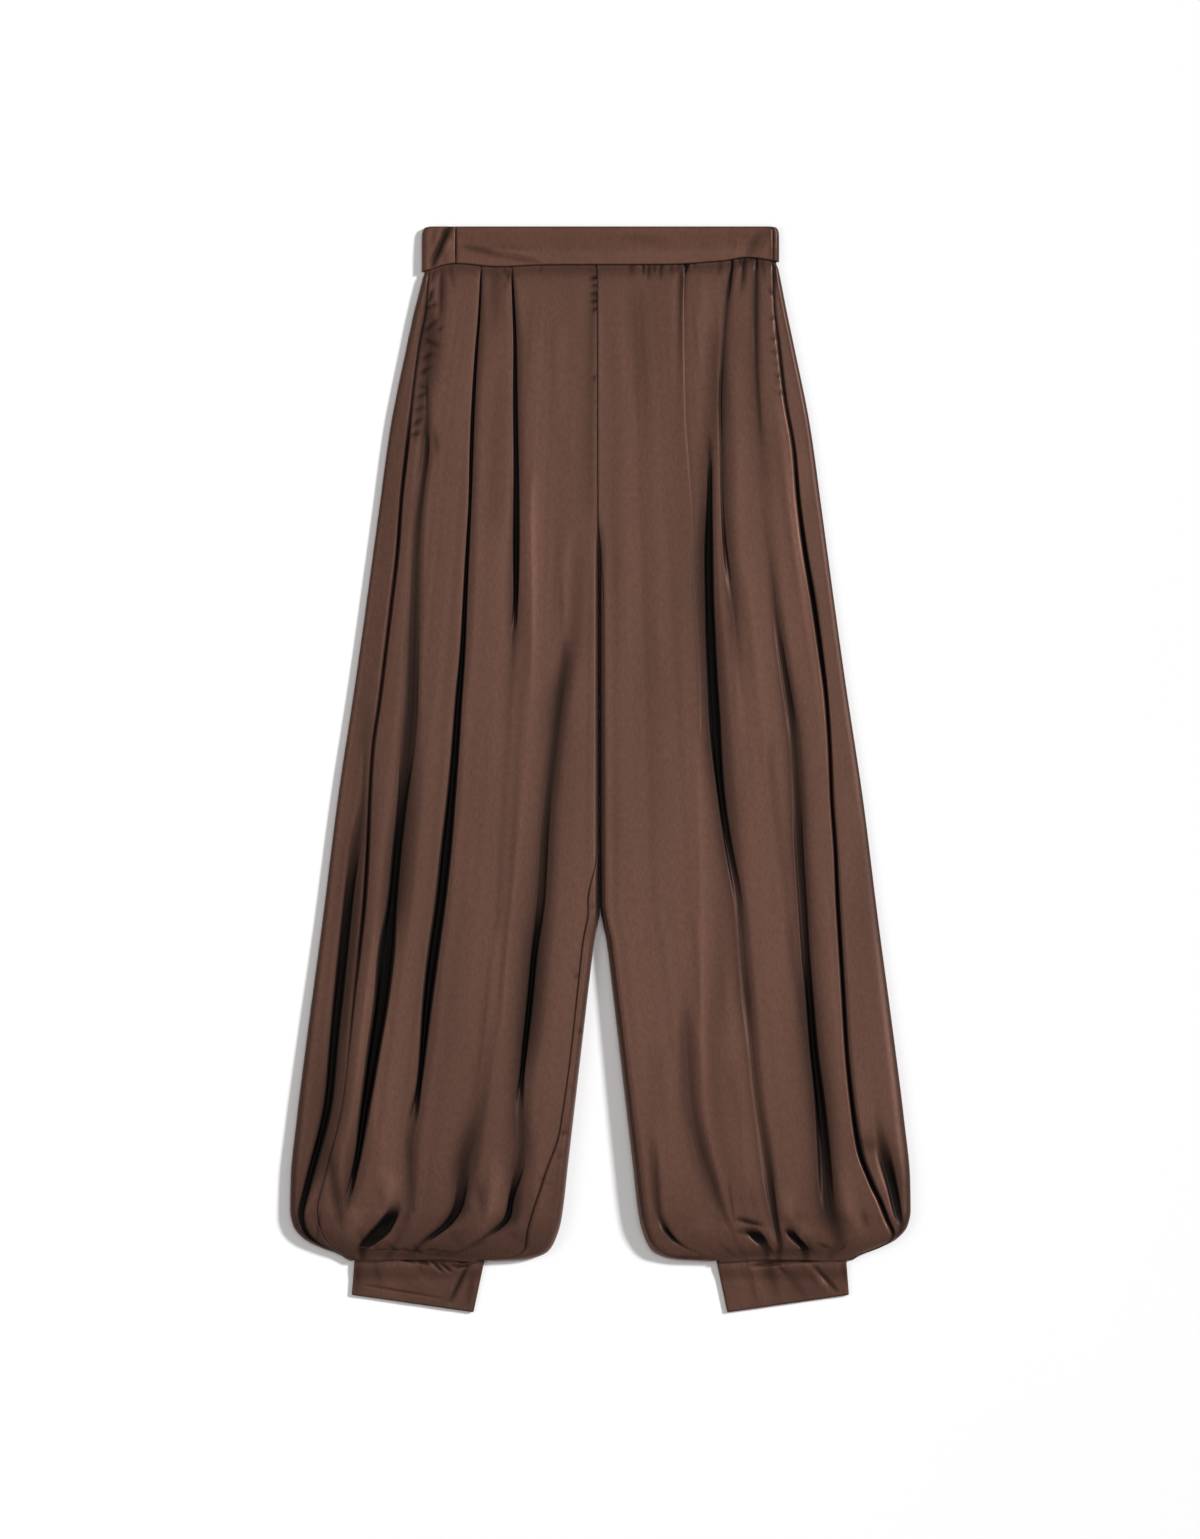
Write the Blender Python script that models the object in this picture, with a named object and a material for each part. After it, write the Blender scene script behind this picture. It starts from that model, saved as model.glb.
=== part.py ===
"""Balloon trousers with wide pleated legs, laid flat on their back with the front up.

The scene is in metres, +Z up and +Y towards the waist. The origin is on the surface they
lie on, under the middle of the garment. Sizes below are in millimetres: "down" runs from the
top edge of the waistband towards the cuffs, "out" from the centre line towards the side of
the leg, and "high" up from the surface. Right and left are the wearer's, so the right leg
lies at -X.

Each leg is one tube of cloth, in rows down its length. Its back lies on the surface and comes
round both edges to the seams, and its front lies between the seams with the pleats and folds
pressed into it. The legs' tops go inside the waistband, and the cuffs go inside the hems.
"""

from collections import namedtuple

import bmesh
import bpy
import numpy as np

COLLECTION = "balloon_trousers"
MM = 0.001

# Whole garment
LENGTH = 1087.0
CLOTH = 1.2            # thickness of a panel's wall
BAND_CLOTH = 2.0       # the waistband is folded double round its elastic
CUFF_CLOTH = 1.6       # the cuffs are folded double
GAP = 0.3              # between neighbouring pieces

# Waistband
BAND_DEPTH = 40.0      # on the straight back, from the top edge to the seam
BAND_FRONT_RIGHT = 145.0   # the right end of the front band, out from the centre
BAND_FRONT_LEFT = 172.7
BAND_SIDE_SHOWS = 5.6      # the back band shows at least this much past the front one
BAND_SIDE = 179.0

# Legs
CROTCH_OPENS = 285.0   # here the front begins to sink to the crotch
CROTCH_CLOSED = 335.0  # from here each leg is a tube of its own
CROWN_REACH = 50.0     # a leg is highest from this far in from its edges
MIDDLE_SHARE = 0.36    # how high up its section a leg is widest
LEAST_MIDDLE = 2.2     # and never lower than this, nor rounded tighter
UPPER_ROUND = 0.55     # radius of the edge above that, as a share of the section's height
LOWER_ROUND = 0.40
HEM_BOW = -4.0         # the hem rises this far in the middle

# Cuffs: a slightly tapered strip, turned a little with the leg
CUFF_HEIGHT = 4.8
CUFF_LIFT = 1.5        # its top lies on the hem of the back
CUFF_DROP = (1040.0, 1056.0)   # between these it comes down to the surface

# Pockets, in the side seams
POCKET_MOUTH = (64.0, 209.0)
POCKET_END = 292.0
POCKET_WIDE = 96.0
POCKET_CLOTH = 1.0

Colour = namedtuple("Colour", "red green blue roughness")
SATIN = Colour(0.110, 0.056, 0.041, 0.42)
SATIN_BAND = Colour(0.120, 0.062, 0.046, 0.46)
POCKETING = Colour(0.085, 0.050, 0.040, 0.70)

# The leg's outline and height, the same on both legs. The outer and inner end of a row leave
# its own "down" only at the hem, where the rows close in on the cuff.
Outline = namedtuple("Outline", "down outer outer_down height low share floor spread")
OUTLINE = (
    Outline(32, 176.0, 32, 6.7, 2.3, 1.00, 6.4, 0.95),
    Outline(42, 176.2, 42, 6.7, 2.3, 1.00, 6.4, 0.95),
    Outline(46, 178.0, 46, 8.0, 1.2, 0.98, 5.8, 1.0),
    Outline(52, 179.5, 52, 9.0, 0.0, 0.96, 5.8, 1.0),
    Outline(66, 182.5, 66, 9.6, 0.0, 0.92, 5.8, 1.0),
    Outline(120, 194.0, 120, 10.2, 0.0, 0.80, 5.8, 1.0),
    Outline(200, 210.0, 200, 11.0, 0.0, 0.72, 5.8, 1.0),
    Outline(285, 221.8, 285, 11.8, 0.0, 0.64, 5.8, 1.0),
    Outline(320, 226.5, 320, 12.2, 0.0, 0.62, 3.4, 1.0),
    Outline(454, 245.0, 454, 13.0, 0.0, 0.60, 3.2, 1.0),
    Outline(574, 263.0, 574, 14.0, 0.0, 0.60, 3.2, 1.0),
    Outline(694, 278.0, 694, 15.5, 0.0, 0.60, 3.2, 1.0),
    Outline(814, 294.0, 814, 18.0, 0.0, 0.60, 3.2, 1.0),
    Outline(894, 304.0, 894, 19.5, 0.0, 0.60, 3.2, 1.0),
    Outline(954, 310.0, 954, 20.0, 0.0, 0.62, 3.2, 1.0),
    Outline(985, 310.5, 985, 19.5, 0.0, 0.66, 3.4, 1.0),
    Outline(1000, 307.5, 1000, 18.5, 0.0, 0.70, 5.6, 1.2),
    Outline(1014, 297.0, 1013, 16.8, 0.0, 0.76, 8.0, 1.7),
    Outline(1026, 279.0, 1022.6, 14.6, 0.0, 0.80, 8.2, 2.4),
    Outline(1034, 263.0, 1028.5, 12.6, 0.0, 0.84, 8.2, 2.2),
    Outline(1040, 252.0, 1036.0, 10.8, 0.0, 0.88, 8.2, 1.8),
)

# The inner edge of a leg below the crotch
InnerEdge = namedtuple("InnerEdge", "down out out_down spread")
INNER_EDGE = (
    InnerEdge(335, 1.0, 335, 1.0),
    InnerEdge(680, 1.0, 680, 1.0),
    InnerEdge(694, 2.7, 694, 1.0),
    InnerEdge(714, 5.8, 714, 1.0),
    InnerEdge(754, 10.8, 754, 1.0),
    InnerEdge(814, 17.8, 814, 1.0),
    InnerEdge(874, 24.8, 874, 1.0),
    InnerEdge(934, 31.8, 934, 1.0),
    InnerEdge(994, 39.0, 994, 1.0),
    InnerEdge(1014, 45.0, 1014, 1.2),
    InnerEdge(1026, 53.0, 1027, 1.8),
    InnerEdge(1034, 74.0, 1035, 3.4),
    InnerEdge(1040, 104.0, 1036.8, 4.0),
)

# The centre seam's place from the waist to the crotch, which lies a little to the right
CentreSeam = namedtuple("CentreSeam", "down right")
CENTRE_SEAM = (
    CentreSeam(32, 3.5),
    CentreSeam(285, 2.8),
    CentreSeam(335, 1.2),
    CentreSeam(680, 1.0),
    CentreSeam(700, 0.0),
    CentreSeam(1040, 0.0),
)
CROTCH_PARTING = 0.6   # each leg's edge stands off the centre seam's line by this much below it

# The band by the share of its depth: how far its rounded upper corners draw its side in, and
# how high it is, since its two halves lie closer at the mouth than round the legs' tops
BandRow = namedtuple("BandRow", "share tuck height")
BAND_ROWS = (
    BandRow(0.0, 4.0, 7.5),
    BandRow(0.07, 1.7, 7.6),
    BandRow(0.18, 0.3, 7.8),
    BandRow(0.4, 0.0, 8.4),
    BandRow(0.7, 0.0, 9.0),
    BandRow(1.0, 0.0, 9.0),
)

# The lower edge of the front waistband, which dips and lifts with the cloth it holds
BandEdge = namedtuple("BandEdge", "across down")
BAND_EDGE = (
    BandEdge(-179, 46.0),
    BandEdge(-145, 37.4),
    BandEdge(-102, 40.7),
    BandEdge(-57, 38.8),
    BandEdge(65, 38.4),
    BandEdge(121, 35.0),
    BandEdge(148, 31.3),
    BandEdge(179, 36.0),
)

# A seam down a leg: how deep its crease is pressed in, as a share of the room below it
SideSeam = namedtuple("SideSeam", "down out crease")
RIGHT_SIDE_SEAM = (
    SideSeam(32, 171.0, 0.0),
    SideSeam(52, 172.8, 0.2),
    SideSeam(105, 179.0, 0.4),
    SideSeam(163, 187.0, 0.4),
    SideSeam(221, 193.3, 0.3),
    SideSeam(340, 205.0, 0.1),
    SideSeam(438, 216.0, 0.1),
    SideSeam(534, 227.2, 0.2),
    SideSeam(636, 232.3, 0.3),
    SideSeam(765, 242.6, 0.15),
    SideSeam(874, 257.0, 0.0),
    SideSeam(957, 277.0, 0.0),
    SideSeam(985, 283.0, 0.0),
    SideSeam(1014, 276.0, 0.0),
    SideSeam(1040, 245.5, 0.0),
)
LEFT_SIDE_SEAM = (
    SideSeam(32, 171.0, 0.0),
    SideSeam(52, 172.8, 0.2),
    SideSeam(105, 177.4, 0.3),
    SideSeam(171, 185.0, 0.4),
    SideSeam(232, 194.0, 0.2),
    SideSeam(316, 203.0, 0.3),
    SideSeam(377, 214.5, 0.6),
    SideSeam(469, 226.7, 0.2),
    SideSeam(554, 231.0, 0.3),
    SideSeam(666, 239.5, 0.4),
    SideSeam(785, 245.0, 0.4),
    SideSeam(848, 249.0, 0.5),
    SideSeam(902, 256.8, 0.8),
    SideSeam(941, 265.5, 0.8),
    SideSeam(978, 280.7, 0.5),
    SideSeam(1014, 289.0, 0.2),
    SideSeam(1040, 247.5, 0.0),
)
CREASE_HALF_WIDTH = 2.6

# How far the inside leg seam lies in from the inner edge
Inseam = namedtuple("Inseam", "down inward")
RIGHT_INSEAM = (
    Inseam(335, 1.5),
    Inseam(625, 1.8),
    Inseam(677, 12.0),
    Inseam(828, 10.5),
    Inseam(904, 12.5),
    Inseam(951, 23.0),
    Inseam(1002, 32.0),
    Inseam(1040, 18.0),
)
LEFT_INSEAM = (
    Inseam(335, 3.0),
    Inseam(400, 4.0),
    Inseam(960, 4.0),
    Inseam(1014, 6.0),
    Inseam(1026, 9.0),
    Inseam(1034, 13.0),
    Inseam(1040, 14.0),
)

# The pleats and folds of each leg, from the inside leg outwards. Depth is the share of the
# room under the cloth that the fold takes up.
FoldRow = namedtuple("FoldRow", "down out half_width depth")
Fold = namedtuple("Fold", "name steep rows")

RIGHT_FOLDS = (
    Fold("inner_trough", False, (
        FoldRow(32, 60.0, 3.0, 0.0),
        FoldRow(319, 48.0, 3.0, 0.0),
        FoldRow(400, 37.0, 3.0, 0.0),
        FoldRow(424, 34.3, 3.0, 0.6),
        FoldRow(520, 43.5, 6.0, 0.5),
        FoldRow(664, 60.0, 5.0, 0.55),
        FoldRow(760, 69.0, 3.2, 0.85),
        FoldRow(832, 75.0, 3.0, 0.9),
        FoldRow(890, 83.0, 4.0, 0.4),
        FoldRow(939, 81.0, 5.0, 0.4),
        FoldRow(989, 89.0, 3.5, 0.9),
        FoldRow(1014, 115.0, 3.5, 0.85),
        FoldRow(1040, 164.0, 2.5, 0.5),
    )),
    Fold("pleat_inner", True, (
        FoldRow(32, 89.0, 0.8, 0.0),
        FoldRow(45, 88.8, 1.0, 0.8),
        FoldRow(122, 85.5, 2.0, 1.0),
        FoldRow(249, 84.2, 2.8, 1.0),
        FoldRow(336, 83.3, 3.5, 1.0),
        FoldRow(377, 84.0, 2.4, 0.9),
        FoldRow(438, 90.4, 4.0, 0.2),
        FoldRow(646, 101.0, 5.0, 0.1),
        FoldRow(820, 111.0, 5.0, 0.15),
        FoldRow(894, 127.0, 6.0, 0.45),
        FoldRow(937, 138.0, 7.0, 0.7),
        FoldRow(966, 137.5, 5.0, 0.85),
        FoldRow(995, 153.5, 4.0, 0.9),
        FoldRow(1014, 172.6, 3.5, 0.9),
        FoldRow(1040, 189.0, 2.5, 0.5),
    )),
    Fold("pleat_outer", True, (
        FoldRow(32, 119.0, 0.8, 0.0),
        FoldRow(45, 119.2, 1.0, 0.8),
        FoldRow(88, 121.2, 1.4, 1.0),
        FoldRow(180, 126.2, 2.0, 1.0),
        FoldRow(336, 133.0, 2.4, 1.0),
        FoldRow(438, 139.4, 3.0, 1.0),
        FoldRow(534, 146.1, 4.5, 1.0),
        FoldRow(626, 152.7, 5.0, 1.0),
        FoldRow(718, 164.0, 6.0, 1.0),
        FoldRow(789, 171.0, 6.0, 1.0),
        FoldRow(834, 176.2, 4.0, 1.0),
        FoldRow(865, 181.2, 2.6, 0.8),
        FoldRow(928, 190.0, 4.0, 0.3),
        FoldRow(981, 190.0, 4.0, 0.25),
        FoldRow(1014, 203.0, 4.0, 0.2),
        FoldRow(1040, 213.0, 3.0, 0.2),
    )),
    Fold("hem_hollow", False, (
        FoldRow(32, 139.0, 3.0, 0.0),
        FoldRow(319, 158.0, 3.0, 0.0),
        FoldRow(764, 191.0, 4.0, 0.0),
        FoldRow(882, 209.0, 4.0, 0.0),
        FoldRow(965, 206.0, 3.0, 0.0),
        FoldRow(985, 208.0, 5.0, 0.7),
        FoldRow(1002, 222.0, 6.0, 1.0),
        FoldRow(1014, 234.0, 5.0, 1.0),
        FoldRow(1040, 234.0, 2.5, 0.5),
    )),
    Fold("side_trough", True, (
        FoldRow(32, 158.0, 3.0, 0.0),
        FoldRow(170, 173.0, 3.0, 0.0),
        FoldRow(200, 174.5, 3.5, 0.4),
        FoldRow(281, 182.0, 3.0, 0.45),
        FoldRow(479, 186.3, 7.0, 0.45),
        FoldRow(579, 198.5, 7.0, 0.6),
        FoldRow(698, 211.5, 7.0, 1.0),
        FoldRow(764, 218.0, 9.0, 1.0),
        FoldRow(836, 228.0, 7.0, 1.0),
        FoldRow(924, 240.5, 4.0, 0.9),
        FoldRow(966, 251.0, 3.0, 0.5),
        FoldRow(995, 258.0, 3.0, 0.0),
        FoldRow(1014, 260.0, 3.0, 0.0),
        FoldRow(1040, 241.0, 1.5, 0.0),
    )),
)
RIGHT_EDGE_FOLD = Fold("edge_trough", False, (
    FoldRow(32, 173.8, 1.0, 0.0),
    FoldRow(319, 213.0, 3.0, 0.0),
    FoldRow(438, 231.0, 4.0, 0.1),
    FoldRow(534, 235.5, 5.0, 0.3),
    FoldRow(687, 253.8, 5.0, 0.7),
    FoldRow(795, 265.0, 5.0, 0.95),
    FoldRow(905, 279.7, 5.0, 0.9),
    FoldRow(976, 298.0, 4.5, 0.85),
    FoldRow(1014, 288.0, 3.5, 0.7),
    FoldRow(1040, 248.8, 1.5, 0.2),
))

LEFT_FOLDS = (
    Fold("inner_short", False, (
        FoldRow(32, 40.0, 3.0, 0.0),
        FoldRow(319, 36.0, 4.0, 0.0),
        FoldRow(764, 40.0, 4.0, 0.0),
        FoldRow(880, 50.0, 4.0, 0.05),
        FoldRow(918, 52.4, 4.0, 0.25),
        FoldRow(976, 57.0, 4.0, 0.4),
        FoldRow(1014, 75.0, 2.5, 0.6),
        FoldRow(1040, 136.0, 2.5, 0.4),
    )),
    Fold("pleat_inner", False, (
        FoldRow(32, 83.0, 1.0, 0.0),
        FoldRow(45, 83.0, 1.5, 0.8),
        FoldRow(70, 79.5, 2.8, 0.5),
        FoldRow(188, 81.5, 3.0, 0.4),
        FoldRow(316, 90.0, 3.0, 0.3),
        FoldRow(479, 96.0, 3.0, 0.12),
        FoldRow(600, 96.0, 4.0, 0.0),
        FoldRow(753, 83.0, 4.0, 0.3),
        FoldRow(851, 85.0, 4.5, 0.45),
        FoldRow(947, 108.0, 4.5, 0.5),
        FoldRow(1001, 127.0, 3.5, 0.5),
        FoldRow(1040, 145.0, 2.5, 0.3),
    )),
    Fold("hem_hollow", False, (
        FoldRow(32, 93.0, 2.0, 0.0),
        FoldRow(319, 99.0, 2.0, 0.0),
        FoldRow(534, 106.0, 2.0, 0.0),
        FoldRow(764, 120.0, 3.0, 0.0),
        FoldRow(904, 138.0, 3.0, 0.0),
        FoldRow(985, 144.0, 3.0, 0.0),
        FoldRow(1002, 147.0, 5.0, 0.8),
        FoldRow(1014, 158.0, 5.0, 0.95),
        FoldRow(1040, 160.0, 2.5, 0.4),
    )),
    Fold("pleat_main", True, (
        FoldRow(32, 103.0, 2.0, 0.0),
        FoldRow(190, 106.0, 2.0, 0.0),
        FoldRow(234, 109.4, 2.5, 0.8),
        FoldRow(295, 107.3, 3.0, 1.0),
        FoldRow(377, 108.4, 4.2, 1.0),
        FoldRow(458, 112.4, 6.0, 1.0),
        FoldRow(534, 117.4, 6.0, 1.0),
        FoldRow(569, 122.6, 4.2, 1.0),
        FoldRow(648, 135.8, 4.0, 0.6),
        FoldRow(718, 146.0, 3.5, 0.55),
        FoldRow(820, 153.0, 3.0, 0.6),
        FoldRow(918, 163.4, 4.0, 0.5),
        FoldRow(1014, 179.7, 4.0, 0.5),
        FoldRow(1040, 177.0, 2.5, 0.4),
    )),
    Fold("pleat_outer", False, (
        FoldRow(32, 131.0, 1.2, 0.0),
        FoldRow(45, 130.5, 1.5, 0.6),
        FoldRow(95, 126.0, 3.0, 0.5),
        FoldRow(249, 124.5, 3.0, 0.5),
        FoldRow(346, 131.0, 2.5, 0.5),
        FoldRow(458, 141.0, 2.5, 0.2),
        FoldRow(514, 147.0, 3.0, 0.0),
        FoldRow(734, 170.0, 4.0, 0.0),
        FoldRow(904, 187.0, 4.0, 0.0),
        FoldRow(985, 189.0, 4.0, 0.1),
        FoldRow(1002, 190.0, 4.5, 0.7),
        FoldRow(1014, 199.0, 4.0, 0.95),
        FoldRow(1040, 199.0, 2.5, 0.4),
    )),
    Fold("side_pleat", True, (
        FoldRow(32, 156.0, 1.5, 0.0),
        FoldRow(45, 156.0, 2.0, 0.8),
        FoldRow(130, 156.0, 2.0, 0.8),
        FoldRow(188, 159.0, 1.6, 0.5),
        FoldRow(210, 160.0, 1.6, 0.12),
        FoldRow(326, 167.6, 2.0, 0.25),
        FoldRow(407, 177.8, 3.0, 0.45),
        FoldRow(479, 187.0, 4.0, 0.7),
        FoldRow(579, 198.0, 5.0, 0.7),
        FoldRow(698, 203.7, 4.5, 0.75),
        FoldRow(794, 211.0, 3.5, 0.95),
        FoldRow(890, 222.7, 5.0, 0.8),
        FoldRow(966, 226.5, 5.0, 0.7),
        FoldRow(1014, 236.0, 4.5, 0.75),
        FoldRow(1040, 227.0, 3.0, 0.4),
    )),
)
LEFT_EDGE_FOLD = Fold("edge_fold", False, (
    FoldRow(32, 173.8, 1.0, 0.0),
    FoldRow(319, 213.0, 3.0, 0.0),
    FoldRow(554, 245.0, 4.0, 0.0),
    FoldRow(785, 268.0, 5.0, 0.0),
    FoldRow(880, 276.0, 5.0, 0.1),
    FoldRow(915, 280.0, 4.0, 0.6),
    FoldRow(946, 289.0, 4.0, 0.8),
    FoldRow(972, 296.0, 3.5, 0.9),
    FoldRow(1014, 293.5, 1.5, 0.4),
    FoldRow(1040, 250.0, 1.0, 0.0),
))

# Where the mesh has its rows and columns
ROWS = (32, 42, 46, 52, 66, 95, 135, 185, 235, 285, 310, 335, 385, 445, 515, 585, 650, 700,
        755, 810, 865, 915, 955, 980, 1000, 1014, 1026, 1034, 1040)
STEEP_STATIONS = (-1.0, -0.4, 0.4, 1.0)
SOFT_STATIONS = (-1.0, 0.0, 1.0)
RIDGE_SHARES = (0.3, 0.7)
EDGE_SHARES = (0.45, 0.12)         # down to a leg's edge, from the last fold or seam
UNDER_SHARES = (0.18, 0.58, 1.0)   # of the lower radius, from the edge to the surface
FLAT_SHARES = (1 / 3, 2 / 3)       # across the part that lies on the surface
FLAT_INWARD = (30.0, 22.0, 15.0, 10.0, 6.5, 3.0, 0.0)   # the same columns above the crotch
CROWD_SHARE = 0.4                  # a fold reaches no further than this towards the next

# The cuff's corners on either leg, and its mesh
Corner = namedtuple("Corner", "out down")
CUFF_TOP_OUTER = Corner(245.0, 1018.0)
CUFF_TOP_INNER = Corner(116.0, 1035.0)
CUFF_END_OUTER = Corner(249.0, 1069.5)
CUFF_END_INNER = Corner(127.0, LENGTH)
CUFF_ROWS = 7
CUFF_COLUMNS = (0.08, 0.25, 0.5, 0.75, 0.92)
CUFF_ROUND_ANGLES = (-60.0, -20.0, 20.0, 60.0)


def smooth(table, column, at):
    """Read one column of a table at the given places down, along a curve that never overshoots."""
    places = np.array([row[0] for row in table], float)
    values = np.array([getattr(row, column) for row in table], float)
    steps = np.diff(places)
    slopes = np.diff(values) / steps
    product = slopes[:-1] * slopes[1:]
    total = np.where(product > 0, slopes[:-1] + slopes[1:], 1.0)
    inside = np.where(product > 0, 2 * product / total, 0.0)
    tangents = np.concatenate([slopes[:1], inside, slopes[-1:]])
    at = np.clip(at, places[0], places[-1])
    i = np.clip(np.searchsorted(places, at, side="right") - 1, 0, len(steps) - 1)
    t = (at - places[i]) / steps[i]
    start = (1 + 2 * t) * (1 - t) ** 2 * values[i] + t * (1 - t) ** 2 * steps[i] * tangents[i]
    end = t * t * (3 - 2 * t) * values[i + 1] + t * t * (t - 1) * steps[i] * tangents[i + 1]
    return start + end


def ease(low, high, at):
    """Rise from 0 at low to 1 at high, level at both ends."""
    t = np.clip((at - low) / (high - low), 0.0, 1.0)
    return t * t * (3 - 2 * t)


def quarter_round(inward, radius):
    """Height share of a rounded edge at a distance in from it."""
    t = 1 - np.clip(inward / radius, 0.0, 1.0)
    return np.sqrt(1 - t * t)


def waist_shift(across, upper):
    """How far the waistband's seam is off its straight depth, on the front and round the sides."""
    share = max(upper, float(ease(140, 172, abs(across))))
    return share * (float(smooth(BAND_EDGE, "down", across)) - BAND_DEPTH)


class Leg:
    """One leg of the trousers, with its tables and the surface that they describe."""

    def __init__(self, side, folds, edge_fold, side_seam, inseam):
        self.side = side
        self.folds = folds
        self.edge_fold = edge_fold
        self.side_seam = side_seam
        self.inseam_rows = inseam

    def closing(self, down):
        """How far the leg has closed into a tube: 0 above the crotch, 1 below it."""
        return float(ease(CROTCH_OPENS, CROTCH_CLOSED, down))

    def inner(self, down):
        """The inner edge, which is the centre seam above the crotch."""
        centre = -self.side * smooth(CENTRE_SEAM, "right", down)
        parting = GAP / 2 + (CROTCH_PARTING - GAP / 2) * self.closing(down)
        above = centre + parting
        if down <= INNER_EDGE[0].down:
            return float(above)
        return float(max(above, smooth(INNER_EDGE, "out", down) - 0.3))

    def outer(self, down):
        return float(smooth(OUTLINE, "outer", down))

    def seam(self, down):
        return float(smooth(self.side_seam, "out", down))

    def spreads(self, down):
        """How far the rounding of the outer and inner edge is drawn out, where they turn across."""
        return float(smooth(OUTLINE, "spread", down)), float(smooth(INNER_EDGE, "spread", down))

    def inseam(self, down):
        inward = smooth(self.inseam_rows, "inward", down)
        return self.inner(down) + float(inward) * self.closing(down)

    def fold_places(self, down):
        """Centre, half width and depth of each fold here, kept clear of its neighbours."""
        rows = [fold.rows for fold in self.folds]
        centres = [float(smooth(table, "out", down)) for table in rows]
        stops = [self.inseam(down)] + centres + [self.seam(down) - CREASE_HALF_WIDTH]
        places = []
        for index, table in enumerate(rows):
            room = min(stops[index + 1] - stops[index], stops[index + 2] - stops[index + 1])
            width = min(float(smooth(table, "half_width", down)), CROWD_SHARE * room)
            places.append((centres[index], width, float(smooth(table, "depth", down))))
        return places

    def edge_fold_place(self, down):
        table = self.edge_fold.rows
        centre = float(smooth(table, "out", down))
        room = min(centre - self.seam(down) - self.crease_width(down), self.outer(down) - centre)
        width = min(float(smooth(table, "half_width", down)), CROWD_SHARE * room)
        return centre, width, float(smooth(table, "depth", down))

    def crease_width(self, down):
        """Half width of the pressed line along the side seam, narrow where the back is."""
        return min(CREASE_HALF_WIDTH, 0.25 * (self.outer(down) - self.seam(down)))

    def height(self, out, down):
        """How high the upper surface is at a place."""
        low = float(smooth(OUTLINE, "low", down))
        tall = float(smooth(OUTLINE, "height", down)) - low
        share = float(smooth(OUTLINE, "share", down))
        floor = float(smooth(OUTLINE, "floor", down))
        closing = self.closing(down)
        from_outer = max(self.outer(down) - out, 0.0)
        from_inner = max(out - self.inner(down), 0.0)
        outer_crown = 1 - (1 - min(from_outer / CROWN_REACH, 1.0)) ** 2
        inner_crown = 1 - (1 - min(from_inner / CROWN_REACH, 1.0)) ** 2
        crown = outer_crown * (1 - closing * (1 - inner_crown))
        high = max(low + tall * (share + (1 - share) * crown), floor)
        level = 1.0
        for centre, width, depth in self.fold_places(down) + [self.edge_fold_place(down)]:
            level *= 1 - depth * press((out - centre) / width)
        crease = float(smooth(self.side_seam, "crease", down))
        level *= 1 - crease * press((out - self.seam(down)) / self.crease_width(down))
        high = floor + (high - floor) * level
        middle = low + max(MIDDLE_SHARE * tall, LEAST_MIDDLE)
        spread_outer, spread_inner = self.spreads(down)
        round_outer = quarter_round(from_outer, UPPER_ROUND * tall * spread_outer)
        round_inner = quarter_round(from_inner, UPPER_ROUND * tall * spread_inner)
        round_inner = 1 - closing * (1 - round_inner)
        return middle + (high - middle) * round_outer * round_inner

    def lies(self, out, down):
        """How far down a place of a row lies, since the hem's rows are bowed."""
        outer_down = float(smooth(OUTLINE, "outer_down", down))
        inner_down = down
        if down > INNER_EDGE[0].down:
            inner_down = float(smooth(INNER_EDGE, "out_down", down))
        across = np.clip((self.outer(down) - out) / (self.outer(down) - self.inner(down)), 0, 1)
        bow = HEM_BOW * np.sin(np.pi * across) * float(ease(1014, 1040, down))
        return outer_down + (inner_down - outer_down) * across + bow

    def half_gap(self, line, down):
        """Half a seam's gap measured across the row, wider where the seam runs askew."""
        before = max(down - 1.5, ROWS[0])
        after = min(down + 1.5, ROWS[-1])
        aside = line(after) - line(before)
        onward = self.lies(line(after), after) - self.lies(line(before), before)
        return GAP / 2 * float(np.hypot(1.0, aside / onward))

    def place(self, out, high, down, upper):
        """A point of a row: upper is 1 on the front side, 0 underneath and between at an edge."""
        lies = self.lies(out, down)
        waist = 1 - float(ease(45, 95, down))
        lies += waist * waist_shift(self.side * out, upper)
        return (self.side * out, LENGTH / 2 - lies, high)

    def front_row(self, down):
        """The front panel's points across one row, from the inside leg to the side seam."""
        start = self.inseam(down) + self.half_gap(self.inseam, down) * self.closing(down)
        outs = [start]
        reached = start
        for fold, (centre, width, _) in zip(self.folds, self.fold_places(down)):
            outs += [reached + share * (centre - width - reached) for share in RIDGE_SHARES]
            stations = STEEP_STATIONS if fold.steep else SOFT_STATIONS
            outs += [centre + station * width for station in stations]
            reached = centre + width
        end = self.seam(down) - self.crease_width(down)
        outs += [reached + share * (end - reached) for share in RIDGE_SHARES]
        outs += [end, self.seam(down) - self.half_gap(self.seam, down)]
        return [self.place(out, self.height(out, down), down, 1.0) for out in outs]

    def back_row(self, down):
        """The back panel's points, from the side seam round both edges to the inside leg seam."""
        low = float(smooth(OUTLINE, "low", down))
        tall = float(smooth(OUTLINE, "height", down)) - low
        middle = low + max(MIDDLE_SHARE * tall, LEAST_MIDDLE)
        radius = max(LOWER_ROUND * tall, LEAST_MIDDLE)
        under_outer, under_inner = [radius * spread for spread in self.spreads(down)]
        outer = self.outer(down)
        inner = self.inner(down)
        closing = self.closing(down)

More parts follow.
